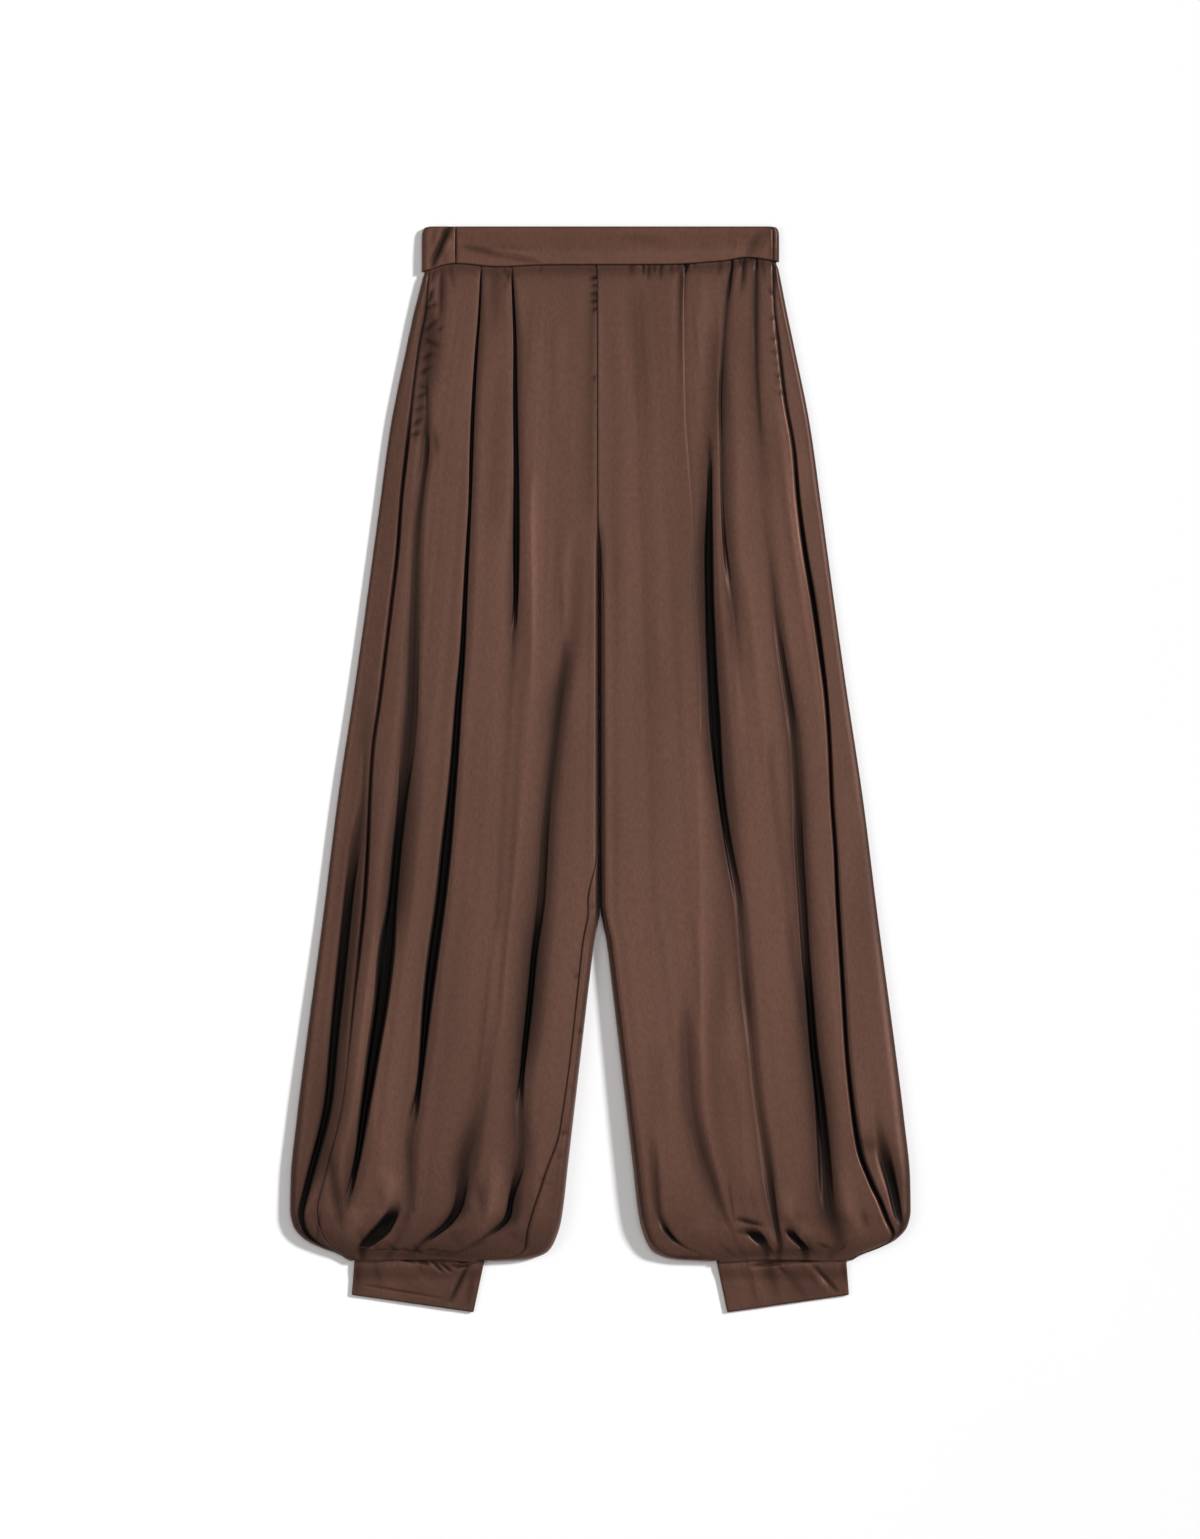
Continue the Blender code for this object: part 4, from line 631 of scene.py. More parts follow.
def wall_normals(points: np.ndarray, joined: np.ndarray,
                 up: tuple[int, int] | None = None) -> np.ndarray:
    """Unit normals of a grid of rows that run round a section.

    Args:
        points: rows, columns and X, Y, Z.
        joined: for each row, 1 where the row's ends meet and 0 where they are loose.
        up: the row and column of a point whose normal has to point up, if there is one.

    Returns:
        The normals, a little longer where the row turns, so that the wall keeps its thickness.
    """
    along = np.gradient(points, axis=0)
    forward = np.roll(points, -1, axis=1) - points
    backward = points - np.roll(points, 1, axis=1)
    share = np.asarray(joined, float).reshape(-1, 1)
    forward[:, -1] = share * forward[:, -1] + (1 - share) * backward[:, -1]
    backward[:, 0] = share * backward[:, 0] + (1 - share) * forward[:, 0]
    forward /= np.maximum(np.linalg.norm(forward, axis=2, keepdims=True), 1e-9)
    backward /= np.maximum(np.linalg.norm(backward, axis=2, keepdims=True), 1e-9)
    around = forward + backward
    normals = np.cross(around, along)
    normals /= np.maximum(np.linalg.norm(normals, axis=2, keepdims=True), 1e-9)
    turn = np.clip(np.linalg.norm(around, axis=2, keepdims=True) / 2, 0.85, 1.0)
    if up and normals[up][2] < 0:
        turn = -turn
    return normals / turn


def wall_faces(points: np.ndarray, normals: np.ndarray, wall: float, shifts: Sequence[float],
               top: bool) -> tuple[np.ndarray, np.ndarray]:
    """The two faces of a wall, brought together towards its folded edges.

    Args:
        points: rows, columns and X, Y, Z of the outer face.
        normals: the normals there.
        wall: the wall's thickness.
        shifts: how far each face gives way, from the edge's last row inwards.
        top: whether the first row is a folded edge too.

    Returns:
        The outer and the inner face's points.
    """
    outside, inside = points.copy(), points - normals * wall
    for index, shift in enumerate(shifts):
        for row in (index, -1 - index) if top else (-1 - index,):
            outside[row] -= normals[row] * shift
            inside[row] += normals[row] * shift
    return outside, inside


def linked(name: str, data: bpy.types.ID) -> bpy.types.Object:
    """Put an object of some data into the scene.

    Args:
        name: the object's name.
        data: its mesh, light or camera.

    Returns:
        The new object, at the origin.
    """
    made = bpy.data.objects.new(name, data)
    bpy.context.scene.collection.objects.link(made)
    return made


def cloth_piece(name: str, outside: np.ndarray, inside: np.ndarray, closed: bool,
                shade: np.ndarray, material: bpy.types.Material) -> bpy.types.Object:
    """Make a closed wall of cloth from its outer and inner points.

    Args:
        name: the piece's name.
        outside: rows, columns and X, Y, Z of the outer face, in millimetres.
        inside: the same for the inner face.
        closed: whether each row meets itself.
        shade: the painted light of each point of the outer face, near 0 deep in a fold.
        material: the piece's cloth.

    Returns:
        The new object, at the origin.
    """
    rows, columns = outside.shape[:2]
    last = columns if closed else columns - 1
    outer = np.arange(rows * columns).reshape(rows, columns)
    inner = outer + rows * columns
    here = np.arange(last)
    beside = (here + 1) % columns
    faces = [
        np.stack([outer[:-1][:, here], outer[:-1][:, beside],
                  outer[1:][:, beside], outer[1:][:, here]], -1).reshape(-1, 4),
        np.stack([inner[:-1][:, here], inner[1:][:, here],
                  inner[1:][:, beside], inner[:-1][:, beside]], -1).reshape(-1, 4),
        np.stack([outer[0, beside], outer[0, here], inner[0, here], inner[0, beside]], -1),
        np.stack([outer[-1, here], outer[-1, beside], inner[-1, beside], inner[-1, here]], -1),
    ]
    if not closed:
        faces.append(np.stack([outer[:-1, 0], outer[1:, 0], inner[1:, 0], inner[:-1, 0]], -1))
        faces.append(np.stack([outer[1:, -1], outer[:-1, -1], inner[:-1, -1], inner[1:, -1]], -1))
    quads = np.concatenate(faces)
    points = np.concatenate([outside.reshape(-1, 3), inside.reshape(-1, 3)]) * MM
    corner = points[quads]
    crossed = np.cross(corner[:, 2] - corner[:, 0], corner[:, 3] - corner[:, 1])
    if np.einsum("ij,ij->", corner.mean(1), crossed) < 0:
        quads = quads[:, ::-1]
    mesh = bpy.data.meshes.new(name)
    mesh.vertices.add(len(points))
    mesh.vertices.foreach_set("co", points.astype(np.float32).ravel())
    mesh.loops.add(quads.size)
    mesh.loops.foreach_set("vertex_index", quads.astype(np.int32).ravel())
    mesh.polygons.add(len(quads))
    mesh.polygons.foreach_set("loop_start", np.arange(0, quads.size, 4, dtype=np.int32))
    mesh.polygons.foreach_set("loop_total", np.full(len(quads), 4, np.int32))
    mesh.update(calc_edges=True)
    mesh.shade_smooth()
    # painted light: shade in folds, seams and creases, highlights on ridges, the inner face darker
    painted_light = mesh.attributes.new("painted_light", "FLOAT", "POINT")
    values = np.concatenate([shade.ravel(), np.minimum(shade, INNER_PAINTED_LIGHT).ravel()])
    painted_light.data.foreach_set("value", values.astype(np.float32))
    mesh.materials.append(material)
    return linked(name, mesh)


def settle(piece: bpy.types.Object, node: str) -> bpy.types.Object:
    """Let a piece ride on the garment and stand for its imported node.

    Args:
        piece: the finished piece.
        node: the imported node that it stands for.

    Returns:
        The same piece.
    """
    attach(piece, "root")
    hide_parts(node)
    LOG.info("%s: %d faces", piece.name, len(piece.data.polygons))
    return piece


def add_node(tree: bpy.types.NodeTree, kind: str, links: dict | None = None,
             values: dict | None = None, **settings: object) -> bpy.types.Node:
    """Add a node with its settings and the links into it.

    Args:
        tree: the node tree.
        kind: the node's type name.
        links: for the name or number of an input, the output that feeds it.
        values: for the name or number of an input, its value.
        settings: the node's own properties.

    Returns:
        The new node.
    """
    node = tree.nodes.new(kind)
    for name, value in settings.items():
        setattr(node, name, value)
    for name, value in (values or {}).items():
        node.inputs[name].default_value = value
    for name, output in (links or {}).items():
        tree.links.new(output, node.inputs[name])
    return node


@dataclass(frozen=True)
class Satin:
    """Polyester satin, filament yarns woven with long floats and piece-dyed brown.

    The size of the weave, and the length of the slubs, are in millimetres.
    """

    name: str
    light: str = "5f4339"
    dark: str = "563d34"
    # near black: the painted shade that is mixed in deep in the folds
    depth: str = "060403"
    roughness: float = 0.40
    metallic: float = 0.5
    sheen: float = 0.04
    # real threads lie about 0.1 mm apart, too fine to show, so the weave is drawn at 0.35 mm
    weave: float = 0.35
    slub: float = 2.4
    bump: float = 0.16

    def build(self) -> bpy.types.Material:
        """Make the material.

        Returns:
            A node material that reads object coordinates and the cloth's painted light.
        """
        material = bpy.data.materials.new(self.name)
        material.use_nodes = True
        tree = material.node_tree
        # dye that takes a little unevenly, in long patches down the cloth
        patches = self.pattern(tree, (1.0, 0.22, 1.0), scale=9.0, detail=3.0, roughness=0.55)
        spread = add_node(tree, "ShaderNodeMapRange", {"Value": patches},
                          {"From Min": 0.35, "From Max": 0.65})
        dyed = add_node(tree, "ShaderNodeMix", {SHARE: spread.outputs["Result"]},
                        {FIRST: linear(self.dark), SECOND: linear(self.light)}, data_type="RGBA")
        # the weave's floats, some three times as long as they are wide
        turns = 1.0 / (self.weave * MM)
        weave = self.pattern(tree, (turns, turns * 0.3, turns), 1.0, 2.0, 0.6)
        colour = self.varied(tree, dyed.outputs[MIXED], weave, 0.10)
        # slubs, stretches of yarn a little thicker or thinner, that give a fine mottle
        turns = 1000 / self.slub
        slubs = self.pattern(tree, (turns, 450 / self.slub, turns), 1.0, 1.0, 0.5)
        colour = self.varied(tree, colour, slubs, 0.20)
        # painted light: 1 on open cloth, near 0 where shade is painted deep in a fold, above 1 on ridges
        painted_light = add_node(tree, "ShaderNodeAttribute", attribute_name="painted_light")
        folded = add_node(tree, "ShaderNodeMix", {SHARE: painted_light.outputs["Fac"], SECOND: colour},
                          {FIRST: linear(self.depth)}, data_type="RGBA", clamp_factor=False)
        relief = add_node(tree, "ShaderNodeBump", {"Height": weave},
                          {"Strength": self.bump, "Distance": 0.06 * MM})
        # floats that lie side by side give a soft sheen down the cloth, like a dull metal
        shader = tree.nodes["Principled BSDF"]
        tree.links.new(folded.outputs[MIXED], shader.inputs["Base Color"])
        tree.links.new(relief.outputs["Normal"], shader.inputs["Normal"])
        for name, value in (("Roughness", self.roughness), ("Metallic", self.metallic),
                            ("Specular IOR Level", 0.10), ("Sheen Weight", self.sheen),
                            ("Sheen Roughness", 0.5)):
            shader.inputs[name].default_value = value
        return material

    @staticmethod
    def pattern(tree: bpy.types.NodeTree, stretch: tuple[float, float, float], scale: float,
                detail: float, roughness: float) -> bpy.types.NodeSocket:
        """Lay an uneven pattern on the cloth, stretched along it.

        Args:
            tree: the material's node tree.
            stretch: how often the pattern repeats in a metre, across, along and up.
            scale: the same for all three.
            detail: how many finer patterns lie in it.
            roughness: how strong the finer ones are.

        Returns:
            The pattern, from 0 to 1.
        """
        place = add_node(tree, "ShaderNodeTexCoord")
        mapped = add_node(tree, "ShaderNodeMapping", {"Vector": place.outputs["Object"]},
                          {"Scale": stretch})
        noise = add_node(tree, "ShaderNodeTexNoise", {"Vector": mapped.outputs["Vector"]},
                         {"Scale": scale, "Detail": detail, "Roughness": roughness})
        return noise.outputs["Fac"]

    @staticmethod
    def varied(tree: bpy.types.NodeTree, colour: bpy.types.NodeSocket,
               pattern: bpy.types.NodeSocket, share: float) -> bpy.types.NodeSocket:
        """Let a pattern make a colour lighter and darker.

        Args:
            tree: the material's node tree.
            colour: the colour.
            pattern: values from 0 to 1.
            share: how much lighter and darker the colour gets.

        Returns:
            The new colour.
        """
        grain = add_node(tree, "ShaderNodeMapRange", {"Value": pattern},
                         {"To Min": 1 - share, "To Max": 1 + share})
        mixed = add_node(tree, "ShaderNodeMix", {FIRST: colour, SECOND: grain.outputs["Result"]},
                         {SHARE: 1.0}, data_type="RGBA", blend_type="MULTIPLY")
        return mixed.outputs[MIXED]


@dataclass(frozen=True)
class Plain:
    """A matt finish with a faint grain, for the pocketing, the thread and the floor."""

    name: str
    light: str
    dark: str
    roughness: float
    grain_mm: float

    def build(self) -> bpy.types.Material:
        """Make the material.

        Returns:
            A node material that reads object coordinates.
        """
        material = bpy.data.materials.new(self.name)
        material.use_nodes = True
        tree = material.node_tree
        place = add_node(tree, "ShaderNodeTexCoord")
        noise = add_node(tree, "ShaderNodeTexNoise", {"Vector": place.outputs["Object"]},
                         {"Scale": 1.0 / (self.grain_mm * MM), "Detail": 2.0})
        mix = add_node(tree, "ShaderNodeMix", {SHARE: noise.outputs["Fac"]},
                       {FIRST: linear(self.dark), SECOND: linear(self.light)}, data_type="RGBA")
        shader = tree.nodes["Principled BSDF"]
        tree.links.new(mix.outputs[MIXED], shader.inputs["Base Color"])
        shader.inputs["Roughness"].default_value = self.roughness
        shader.inputs["Specular IOR Level"].default_value = 0.2
        return material


class FoldPlace(NamedTuple):
    """A fold's centre, half width, depth, lip and soft reach at every row of a leg.

    The depth is how much shade is painted in the fold and press is how far the cloth sinks in it.
    """

    centre: np.ndarray
    width: np.ndarray
    depth: np.ndarray
    press: np.ndarray
    lip: np.ndarray
    inner: np.ndarray
    outer: np.ndarray


@dataclass
class Leg:
    """One leg of the trousers, as a tube of cloth in rows down its length."""

    side: Side
    folds: tuple[tuple[FoldRow, ...], ...]
    edge_fold: tuple[FoldRow, ...]
    side_seam: tuple[SideSeam, ...]
    inseam_rows: tuple[Place, ...]
    swells: tuple[tuple[SwellRow, ...], ...]
    marks: tuple[Mark, ...]
    satin: bpy.types.Material
    wall: float = 0.7
    crown_reach: float = 50.0
    middle_share: float = 0.36
    least_middle: float = 2.2
    upper_round: float = 0.55
    lower_round: float = 0.40
    hem_bow: float = -4.0
    cuff_top: float = 5.9
    crease_width: float = 2.6
    waver_height: float = 0.5
    groove: float = 0.35
    groove_width: float = 1.0
    line_width: float = 0.7
    # painted light: highlights on ridges, shade in hollows and folds, in the gap between the legs and along
    # the rim, and a lighter band above the hem
    ridge_highlight: float = 0.26
    hollow_shade: float = 0.42
    fold_painted_shade: float = 0.985
    fold_reach: float = 1.25
    gap_shade: float = 1.4
    rim_shade_ends: float = 0.12
    rim_shade_all: float = 0.0
    hem_tone: float = 0.0
    seed: int = 3
    turn: tuple[float, ...] = (0.02, 0.08, 0.18, 0.32, 0.5, 0.72, 1.0)
    rows: np.ndarray = field(default_factory=lambda: np.concatenate([
        [32, 37.6, 38.8, 39.8, 41.2], np.arange(43, 215, 2.5), np.arange(215, 300, 5.0),
        np.arange(300, 345, 3.0), np.arange(345, 960, 4.6), np.arange(960, HEM, 2.0), [HEM],
    ]))

    def __post_init__(self) -> None:
        """Read the tables that every point needs, once for all rows."""
        self.down = self.rows[:, None]
        self.low = smooth(OUTLINE, "low", self.down)
        self.tall = smooth(OUTLINE, "height", self.down) - self.low
        self.share = smooth(OUTLINE, "share", self.down)
        self.floor = smooth(OUTLINE, "floor", self.down)
        # closing and below turn from 0 to 1 at the crotch, shown does under the waistband's seam
        self.closing = ease(CROTCH - 50, CROTCH, self.down)
        self.below = self.closing * ease(CROTCH, CROTCH + 25, self.down)
        self.shown = ease(BAND_DEPTH + 2, BAND_DEPTH + 10, self.down)
        self.outer = smooth(OUTLINE, "outer", self.down)
        centre = -self.side.value * smooth(CENTRE_SEAM, "out", self.down)
        above = centre + GAP / 2
        below = smooth(INNER_EDGE, "out", self.down)
        self.inner = np.where(self.down <= CROTCH, above, np.maximum(above, below))
        self.seam = smooth(self.side_seam, "out", self.down)
        inward = smooth(self.inseam_rows, "out", self.down)
        self.inseam = self.inner + inward * ease(CROTCH, CROTCH + 17, self.down)
        self.spread_outer = smooth(OUTLINE, "spread", self.down)
        self.spread_inner = smooth(INNER_EDGE, "spread", self.down)
        self.middle = self.low + np.maximum(self.middle_share * self.tall, self.least_middle)
        self.crease = np.minimum(self.crease_width, 0.25 * (self.outer - self.seam))
        self.flow = 3 + 17 * ease(60, 160, self.down) * (1 - 0.7 * ease(HEM - 100, HEM - 40, self.down))
        *self.places, self.edge = self.fold_places()

    def fold_places(self) -> list[FoldPlace]:
        """Work out every fold at every row, no wider than the cloth between its neighbours.

        Returns:
            The folds of the front panel, from the inside leg outwards, and the edge fold last.
        """
        tables = (*self.folds, self.edge_fold)
        # the edge fold stays on the cloth where the hem turns in sharply
        outs = [drawn(table, "out", self.down, self.flow) for table in tables]
        outs[-1] = np.minimum(outs[-1], self.outer - 2.0)
        wide = [drawn(table, "half_width", self.down, self.flow) for table in tables]
        last = self.seam - self.crease
        stops = [self.inseam, *outs[:-1], last, self.seam + self.crease, outs[-1], self.outer]
        spans = [0 * last, *wide[:-1], 0 * last, 0 * last, wide[-1], 0 * last]
        shares = [np.minimum(1.0, 0.9 * np.maximum(after - here, 0.5)
                             / (self.fold_reach * (one + two + 0.01)))
                  for here, after, one, two in zip(stops, stops[1:], spans, spans[1:])]
        held = [np.minimum(before, after) for before, after in zip(shares, shares[1:])]
        held = held[:len(outs) - 1] + [held[-1]]
        return [
            FoldPlace(
                out, width * share, drawn(table, "depth", self.down, 0.4 * self.flow),
                drawn(table, "depth", self.down, 1.3 * self.flow) ** 2.4,
                smooth(table, "lip", self.down), drawn(table, "inner", self.down, self.flow),
                drawn(table, "outer", self.down, self.flow),
            )
            for table, out, width, share in zip(tables, outs, wide, held)
        ]

    def surface(self, out: np.ndarray) -> tuple[np.ndarray, np.ndarray]:
        """The upper surface of the leg.

        Args:
            out: distances out, rows by columns.

        Returns:
            How high the cloth is there, and its painted light.
        """
        high, tone = self.swelled(out)
        high, tone = self.folded(out, np.maximum(high, self.floor), tone)
        high, tone = self.pressed(out, high, tone)
        tone = self.seam_shades(out, tone)
        from_outer, from_inner = self.inward(out)
        round_outer = quarter_round(from_outer, self.upper_round * self.tall * self.spread_outer)
        round_inner = quarter_round(from_inner, self.upper_round * self.tall * self.spread_inner)
        round_inner = 1 - self.closing * (1 - round_inner)
        return self.middle + (high - self.middle) * round_outer * round_inner, tone

    def inward(self, out: np.ndarray) -> tuple[np.ndarray, np.ndarray]:
        """How far places lie inside the leg's outer edge and inside its inner edge.

        Args:
            out: distances out, rows by columns.

        Returns:
            The two distances, 0 past the edges.
        """
        return np.maximum(self.outer - out, 0.0), np.maximum(out - self.inner, 0.0)

    def swelled(self, out: np.ndarray) -> tuple[np.ndarray, np.ndarray]:
        """The leg's crown with its slow waver and the swells between the folds, with their painted light.

        Args:
            out: distances out, rows by columns.

        Returns:
            How high the cloth is there, and its painted light.
        """
        from_outer, from_inner = self.inward(out)
        outer_crown = 1 - (1 - np.minimum(from_outer / self.crown_reach, 1.0)) ** 2
        inner_crown = 1 - (1 - np.minimum(from_inner / (0.5 * self.crown_reach), 1.0)) ** 2
        crown = outer_crown * (1 - 0.06 * self.closing * (1 - inner_crown))
        high = self.low + self.tall * (self.share + (1 - self.share) * crown)
        across = (out - self.inner) / (self.outer - self.inner)
        free = ease(44, 110, self.down) * (1 - 0.5 * ease(HEM - 40, HEM - 5, self.down))
        free = free * (0.4 + 0.6 * ease(250, 420, self.down))
        broad, fine = waver(across, self.down, self.seed, 9), waver(across, self.down, self.seed + 1, 26)
        high = high + self.waver_height * free * (broad + 0.3 * fine)
        tone = np.ones_like(out)
        # each swell paints a highlight on its ridge or shade in its hollow
        for table in self.swells:
            lift = smooth(table, "lift", self.down)
            aside = out - smooth(table, "out", self.down)
            soft = bell(aside, smooth(table, "half_width", self.down))
            high = high + lift * soft
            tone = tone * (1 + np.where(lift < 0, self.hollow_shade, self.ridge_highlight) * lift * soft)
        # the painted light, on the left leg made lighter in a band above the hem
        return high, np.clip(tone, 0.2, 1.5) * (1 + self.hem_tone * ease(HEM - 55, HEM - 32, self.down))

    def folded(self, out: np.ndarray, high: np.ndarray,
               tone: np.ndarray) -> tuple[np.ndarray, np.ndarray]:
        """Sink the folds and the side seam's crease into the cloth, with a lip beside each fold, and
        paint shade in the folds.

        Args:
            out: distances out, rows by columns.
            high: how high the cloth is there.
            tone: its painted light.

        Returns:
            Both again, with the folds.
        """
        level = np.ones_like(out)
        deepest = 0.85 - 0.5 * ease(HEM - 110, HEM - 50, self.down)
        for fold in self.places + [self.edge]:
            aside = (out - fold.centre) / fold.width
            power = 2 + 6 * ease(0.55, 0.95, fold.depth)
            core = np.exp(-np.abs(aside / 0.9) ** power)
            reach = np.where(aside < 0, fold.inner, fold.outer)
            skirt = bell(np.maximum(np.abs(aside) - 0.7, 0) * fold.width, reach)
            level = level * (1 - deepest * fold.press * (0.8 * core + 0.2 * skirt))
            # painted shade in each fold, darkest in its middle and softer over its skirt
            dark = ease(0.0, 1.0, fold.depth) * ease(0.5, 1.2, fold.width)
            middle = np.exp(-np.abs(aside / 1.02) ** (power + 2 * ease(0.6, 1.0, fold.depth)))
            soft = 0.45 + 0.3 * ease(5, 12, reach)
            tone = tone * (1 - soft * dark * skirt) * (1 - self.fold_painted_shade * dark * middle)
        crease = smooth(self.side_seam, "crease", self.down)
        aside = (out - self.seam) / self.crease
        level = level * (1 - crease * np.exp(-np.abs(aside / 0.7) ** 4))
        high = self.floor + (high - self.floor) * level
        for fold in self.places:
            aside = out - fold.centre
            step = 1 / (1 + np.exp(np.clip(aside / 0.3, -30, 30))) - 0.45
            high = high - fold.lip * step * np.exp(-np.abs(aside) / 8.0)
        return high, tone

    def pressed(self, out: np.ndarray, high: np.ndarray,
                tone: np.ndarray) -> tuple[np.ndarray, np.ndarray]:
        """Press in the seams' grooves and the short creases, and paint shade in the creases, under the
        waistband and in a dark line along its edge.

        Args:
            out: distances out, rows by columns.
            high: how high the cloth is there.
            tone: its painted light.

        Returns:
            Both again, with the seams and the creases.
        """
        wide = self.groove_width
        high = high - self.groove * self.shown * bell(out - self.seam, wide)
        high = high - self.groove * self.below * bell(out - self.inseam, wide)
        high = high - 0.3 * self.shown * (1 - self.closing) * bell(out - self.inner, wide)
        pressed = ease(33, 37, self.down) * dents(self.marks, out, self.down)
        high = high - 0.55 * pressed
        # painted shade in the pressed creases and a highlight on the lifted ones, painted shade under the
        # waistband and a painted dark line along its lower edge
        tone = tone * painted_crease_light(pressed) * (1 - 0.28 * ease(BAND_DEPTH + 6, BAND_DEPTH - 1, self.down))
        tone = tone * (1 - 0.8 * ease(41.2, 39.8, self.down))
        lowest = np.minimum(self.floor, self.low + self.tall * self.share) - 0.6
        return np.maximum(high, lowest), tone

    def seam_shades(self, out: np.ndarray, tone: np.ndarray) -> np.ndarray:
        """Paint shade on the seams, in the gap between the legs, beside the side seam and on the leg's rim.

        Args:
            out: distances out, rows by columns.
            tone: the cloth's painted light there.

        Returns:
            Its painted light, with the shade painted on the seams.
        """
        # painted shade along the side seam
        shade = drawn(self.side_seam, "shade", self.down, 6.0)
        wide = drawn(self.side_seam, "wide", self.down, 6.0)
        seam_line = shade * np.exp(-np.abs((out - self.seam) / wide) ** 3)
        line = (0.2 + 0.6 * np.minimum(2 * shade, 1.0)) * self.shown
        line = line * bell(out - self.seam, 0.75)
        line = np.maximum(line, 0.8 * bell(out - self.inseam, self.line_width) * self.below)
        centre = bell(out - self.inner, self.line_width) * (1 - self.closing) * self.shown
        line = np.maximum(line, centre)
        # painted shade in the gap between the legs where they meet
        between = self.closing * ease(LEGS_PART, LEGS_MEET, self.down)
        gap_wide = self.gap_shade + 1.6 * ease(600, 690, self.down)
        line = np.maximum(line, 1.6 * bell(out - self.inner, gap_wide) * between)
        tone = tone * np.maximum(1 - 0.6 * line, 0.05) * (1 - 0.97 * seam_line)
        # painted shade beside the side seam and along the leg's outer rim
        painted_shade_rows = (1 - ease(270, 360, self.down)) + ease(560, 680, self.down)
        rim = bell(np.maximum(self.inward(out)[0] - 3.2, 0), 2.5)
        seam_lip_shade = bell(np.maximum(np.abs(out - self.seam) - 1.0, 0), 1.5)
        tone = tone * (1 - 0.25 * painted_shade_rows * self.shown * seam_lip_shade)
        return tone * (1 - (self.rim_shade_ends * painted_shade_rows + self.rim_shade_all) * rim)

    def lies(self, out: np.ndarray) -> np.ndarray:
        """How far down each place of the rows lies, since the hem's rows are bowed.

        Args:
            out: distances out, rows by columns.

        Returns:
            The distances down, in millimetres.
        """
        outer_down = smooth(OUTLINE, "outer_down", self.down)
        inner_down = np.where(self.down > CROTCH, smooth(INNER_EDGE, "out_down", self.down),
                              self.down)
        across = np.clip((self.outer - out) / (self.outer - self.inner), 0, 1)
        bow = self.hem_bow * np.sin(np.pi * across) * ease(HEM - 26, HEM, self.down)
        return outer_down + (inner_down - outer_down) * across + bow

    def half_gap(self, line: np.ndarray) -> np.ndarray:
        """Half a seam's gap measured across the row, wider where the seam runs askew.

        Args:
            line: how far out the seam lies at each row.

        Returns:
            Half the gap at each row, in millimetres.
        """
        onward = np.gradient(self.lies(line), axis=0)
        aside = np.gradient(line, axis=0)
        return GAP / 2 * np.hypot(1.0, np.clip(aside / onward, -8, 8))

    def placed(self, out: np.ndarray, high: np.ndarray, upper: np.ndarray) -> np.ndarray:
        """Turn places of the rows into points.

        Args:
            out: distances out.
            high: heights.
            upper: 1 on the front side, 0 underneath.

        Returns:
            Rows, columns and X, Y, Z, in millimetres.
        """
        lies = self.lies(out)
        waist = 1 - ease(45, 95, self.down)
        lies = lies + waist * waist_shift(self.side.value * out, upper)
        return np.stack([self.side.value * out, LENGTH / 2 - lies, high + np.zeros_like(out)], -1)

    def front_columns(self) -> np.ndarray:
        """Where the front panel's columns lie, crowded round the folds and the seams.

        Returns:
            Distances out, rows by columns.
        """
        stations = np.array([-1.25, -1.08, -0.96, -0.84, -0.7, -0.4, 0.0, 0.4, 0.7, 0.84, 0.96,
                             1.08, 1.25])
        start = self.inseam + self.half_gap(self.inseam) * self.closing
        end = self.seam - self.half_gap(self.seam)
        outs = [start]
        reached = start
        first = (0.02, 0.045, 0.075, 0.11, 0.16, 0.22, 0.29, 0.37, 0.46, 0.56, 0.66, 0.76, 0.88)
        gathered = np.linspace(0, 1, 19)[1:-1]
        between = np.linspace(0, 1, 11)[1:-1]
        for index, fold in enumerate(self.places):
            stop = fold.centre - self.fold_reach * fold.width
            shares = (first, gathered)[index] if index < 2 else between
            outs += [reached + share * (stop - reached) for share in shares]
            outs += [fold.centre + station * fold.width for station in stations]
            reached = fold.centre + self.fold_reach * fold.width
        last = (0.1, 0.2, 0.3, 0.39, 0.47, 0.55, 0.62, 0.69, 0.76, 0.82, 0.88, 0.93, 0.97)
        outs += [reached + share * (end - reached) for share in last]
        outs.append(end)
        return np.hstack(outs)

    def front(self) -> tuple[np.ndarray, np.ndarray]:
        """Lay out the front panel.

        Returns:
            Its points and the painted light of each.
        """
        out = self.front_columns()
        high, shade = self.surface(out)
        return self.placed(out, high, np.ones_like(out)), shade

    def back(self) -> tuple[np.ndarray, np.ndarray]:
        """Lay out the back panel, from the side seam round both edges.

        Returns:
            Its points and the painted light of each.
        """
        flat = np.zeros_like(self.down)
        out = self.side_columns()
        high, shade = self.surface(out)
        parts = [(out, high, np.ones_like(out), shade),
                 (self.outer, self.middle, flat + 0.5, flat + 1)]
        radius = np.maximum(self.lower_round * self.tall, self.least_middle)
        for share in self.turn:
            height = self.low + (self.middle - self.low) * (1 - quarter_round(share, 1.0))
            parts.append((self.outer - share * (radius * self.spread_outer), height, flat, flat + 1))
        under, rolled = parts[-1], self.inside_turn(radius * self.spread_inner)
        for share in np.linspace(0, 1, 40)[1:-1]:
            out_here = under[0] + (rolled[0][0] - under[0]) * share
            parts.append((out_here, under[1] + (rolled[0][1] - under[1]) * share, flat, flat + 1))
        out, high, upper, shade = (np.hstack(values) for values in zip(*(parts + rolled)))
        high = high + self.under_folds(out, high)
        return self.placed(out, high, upper), shade

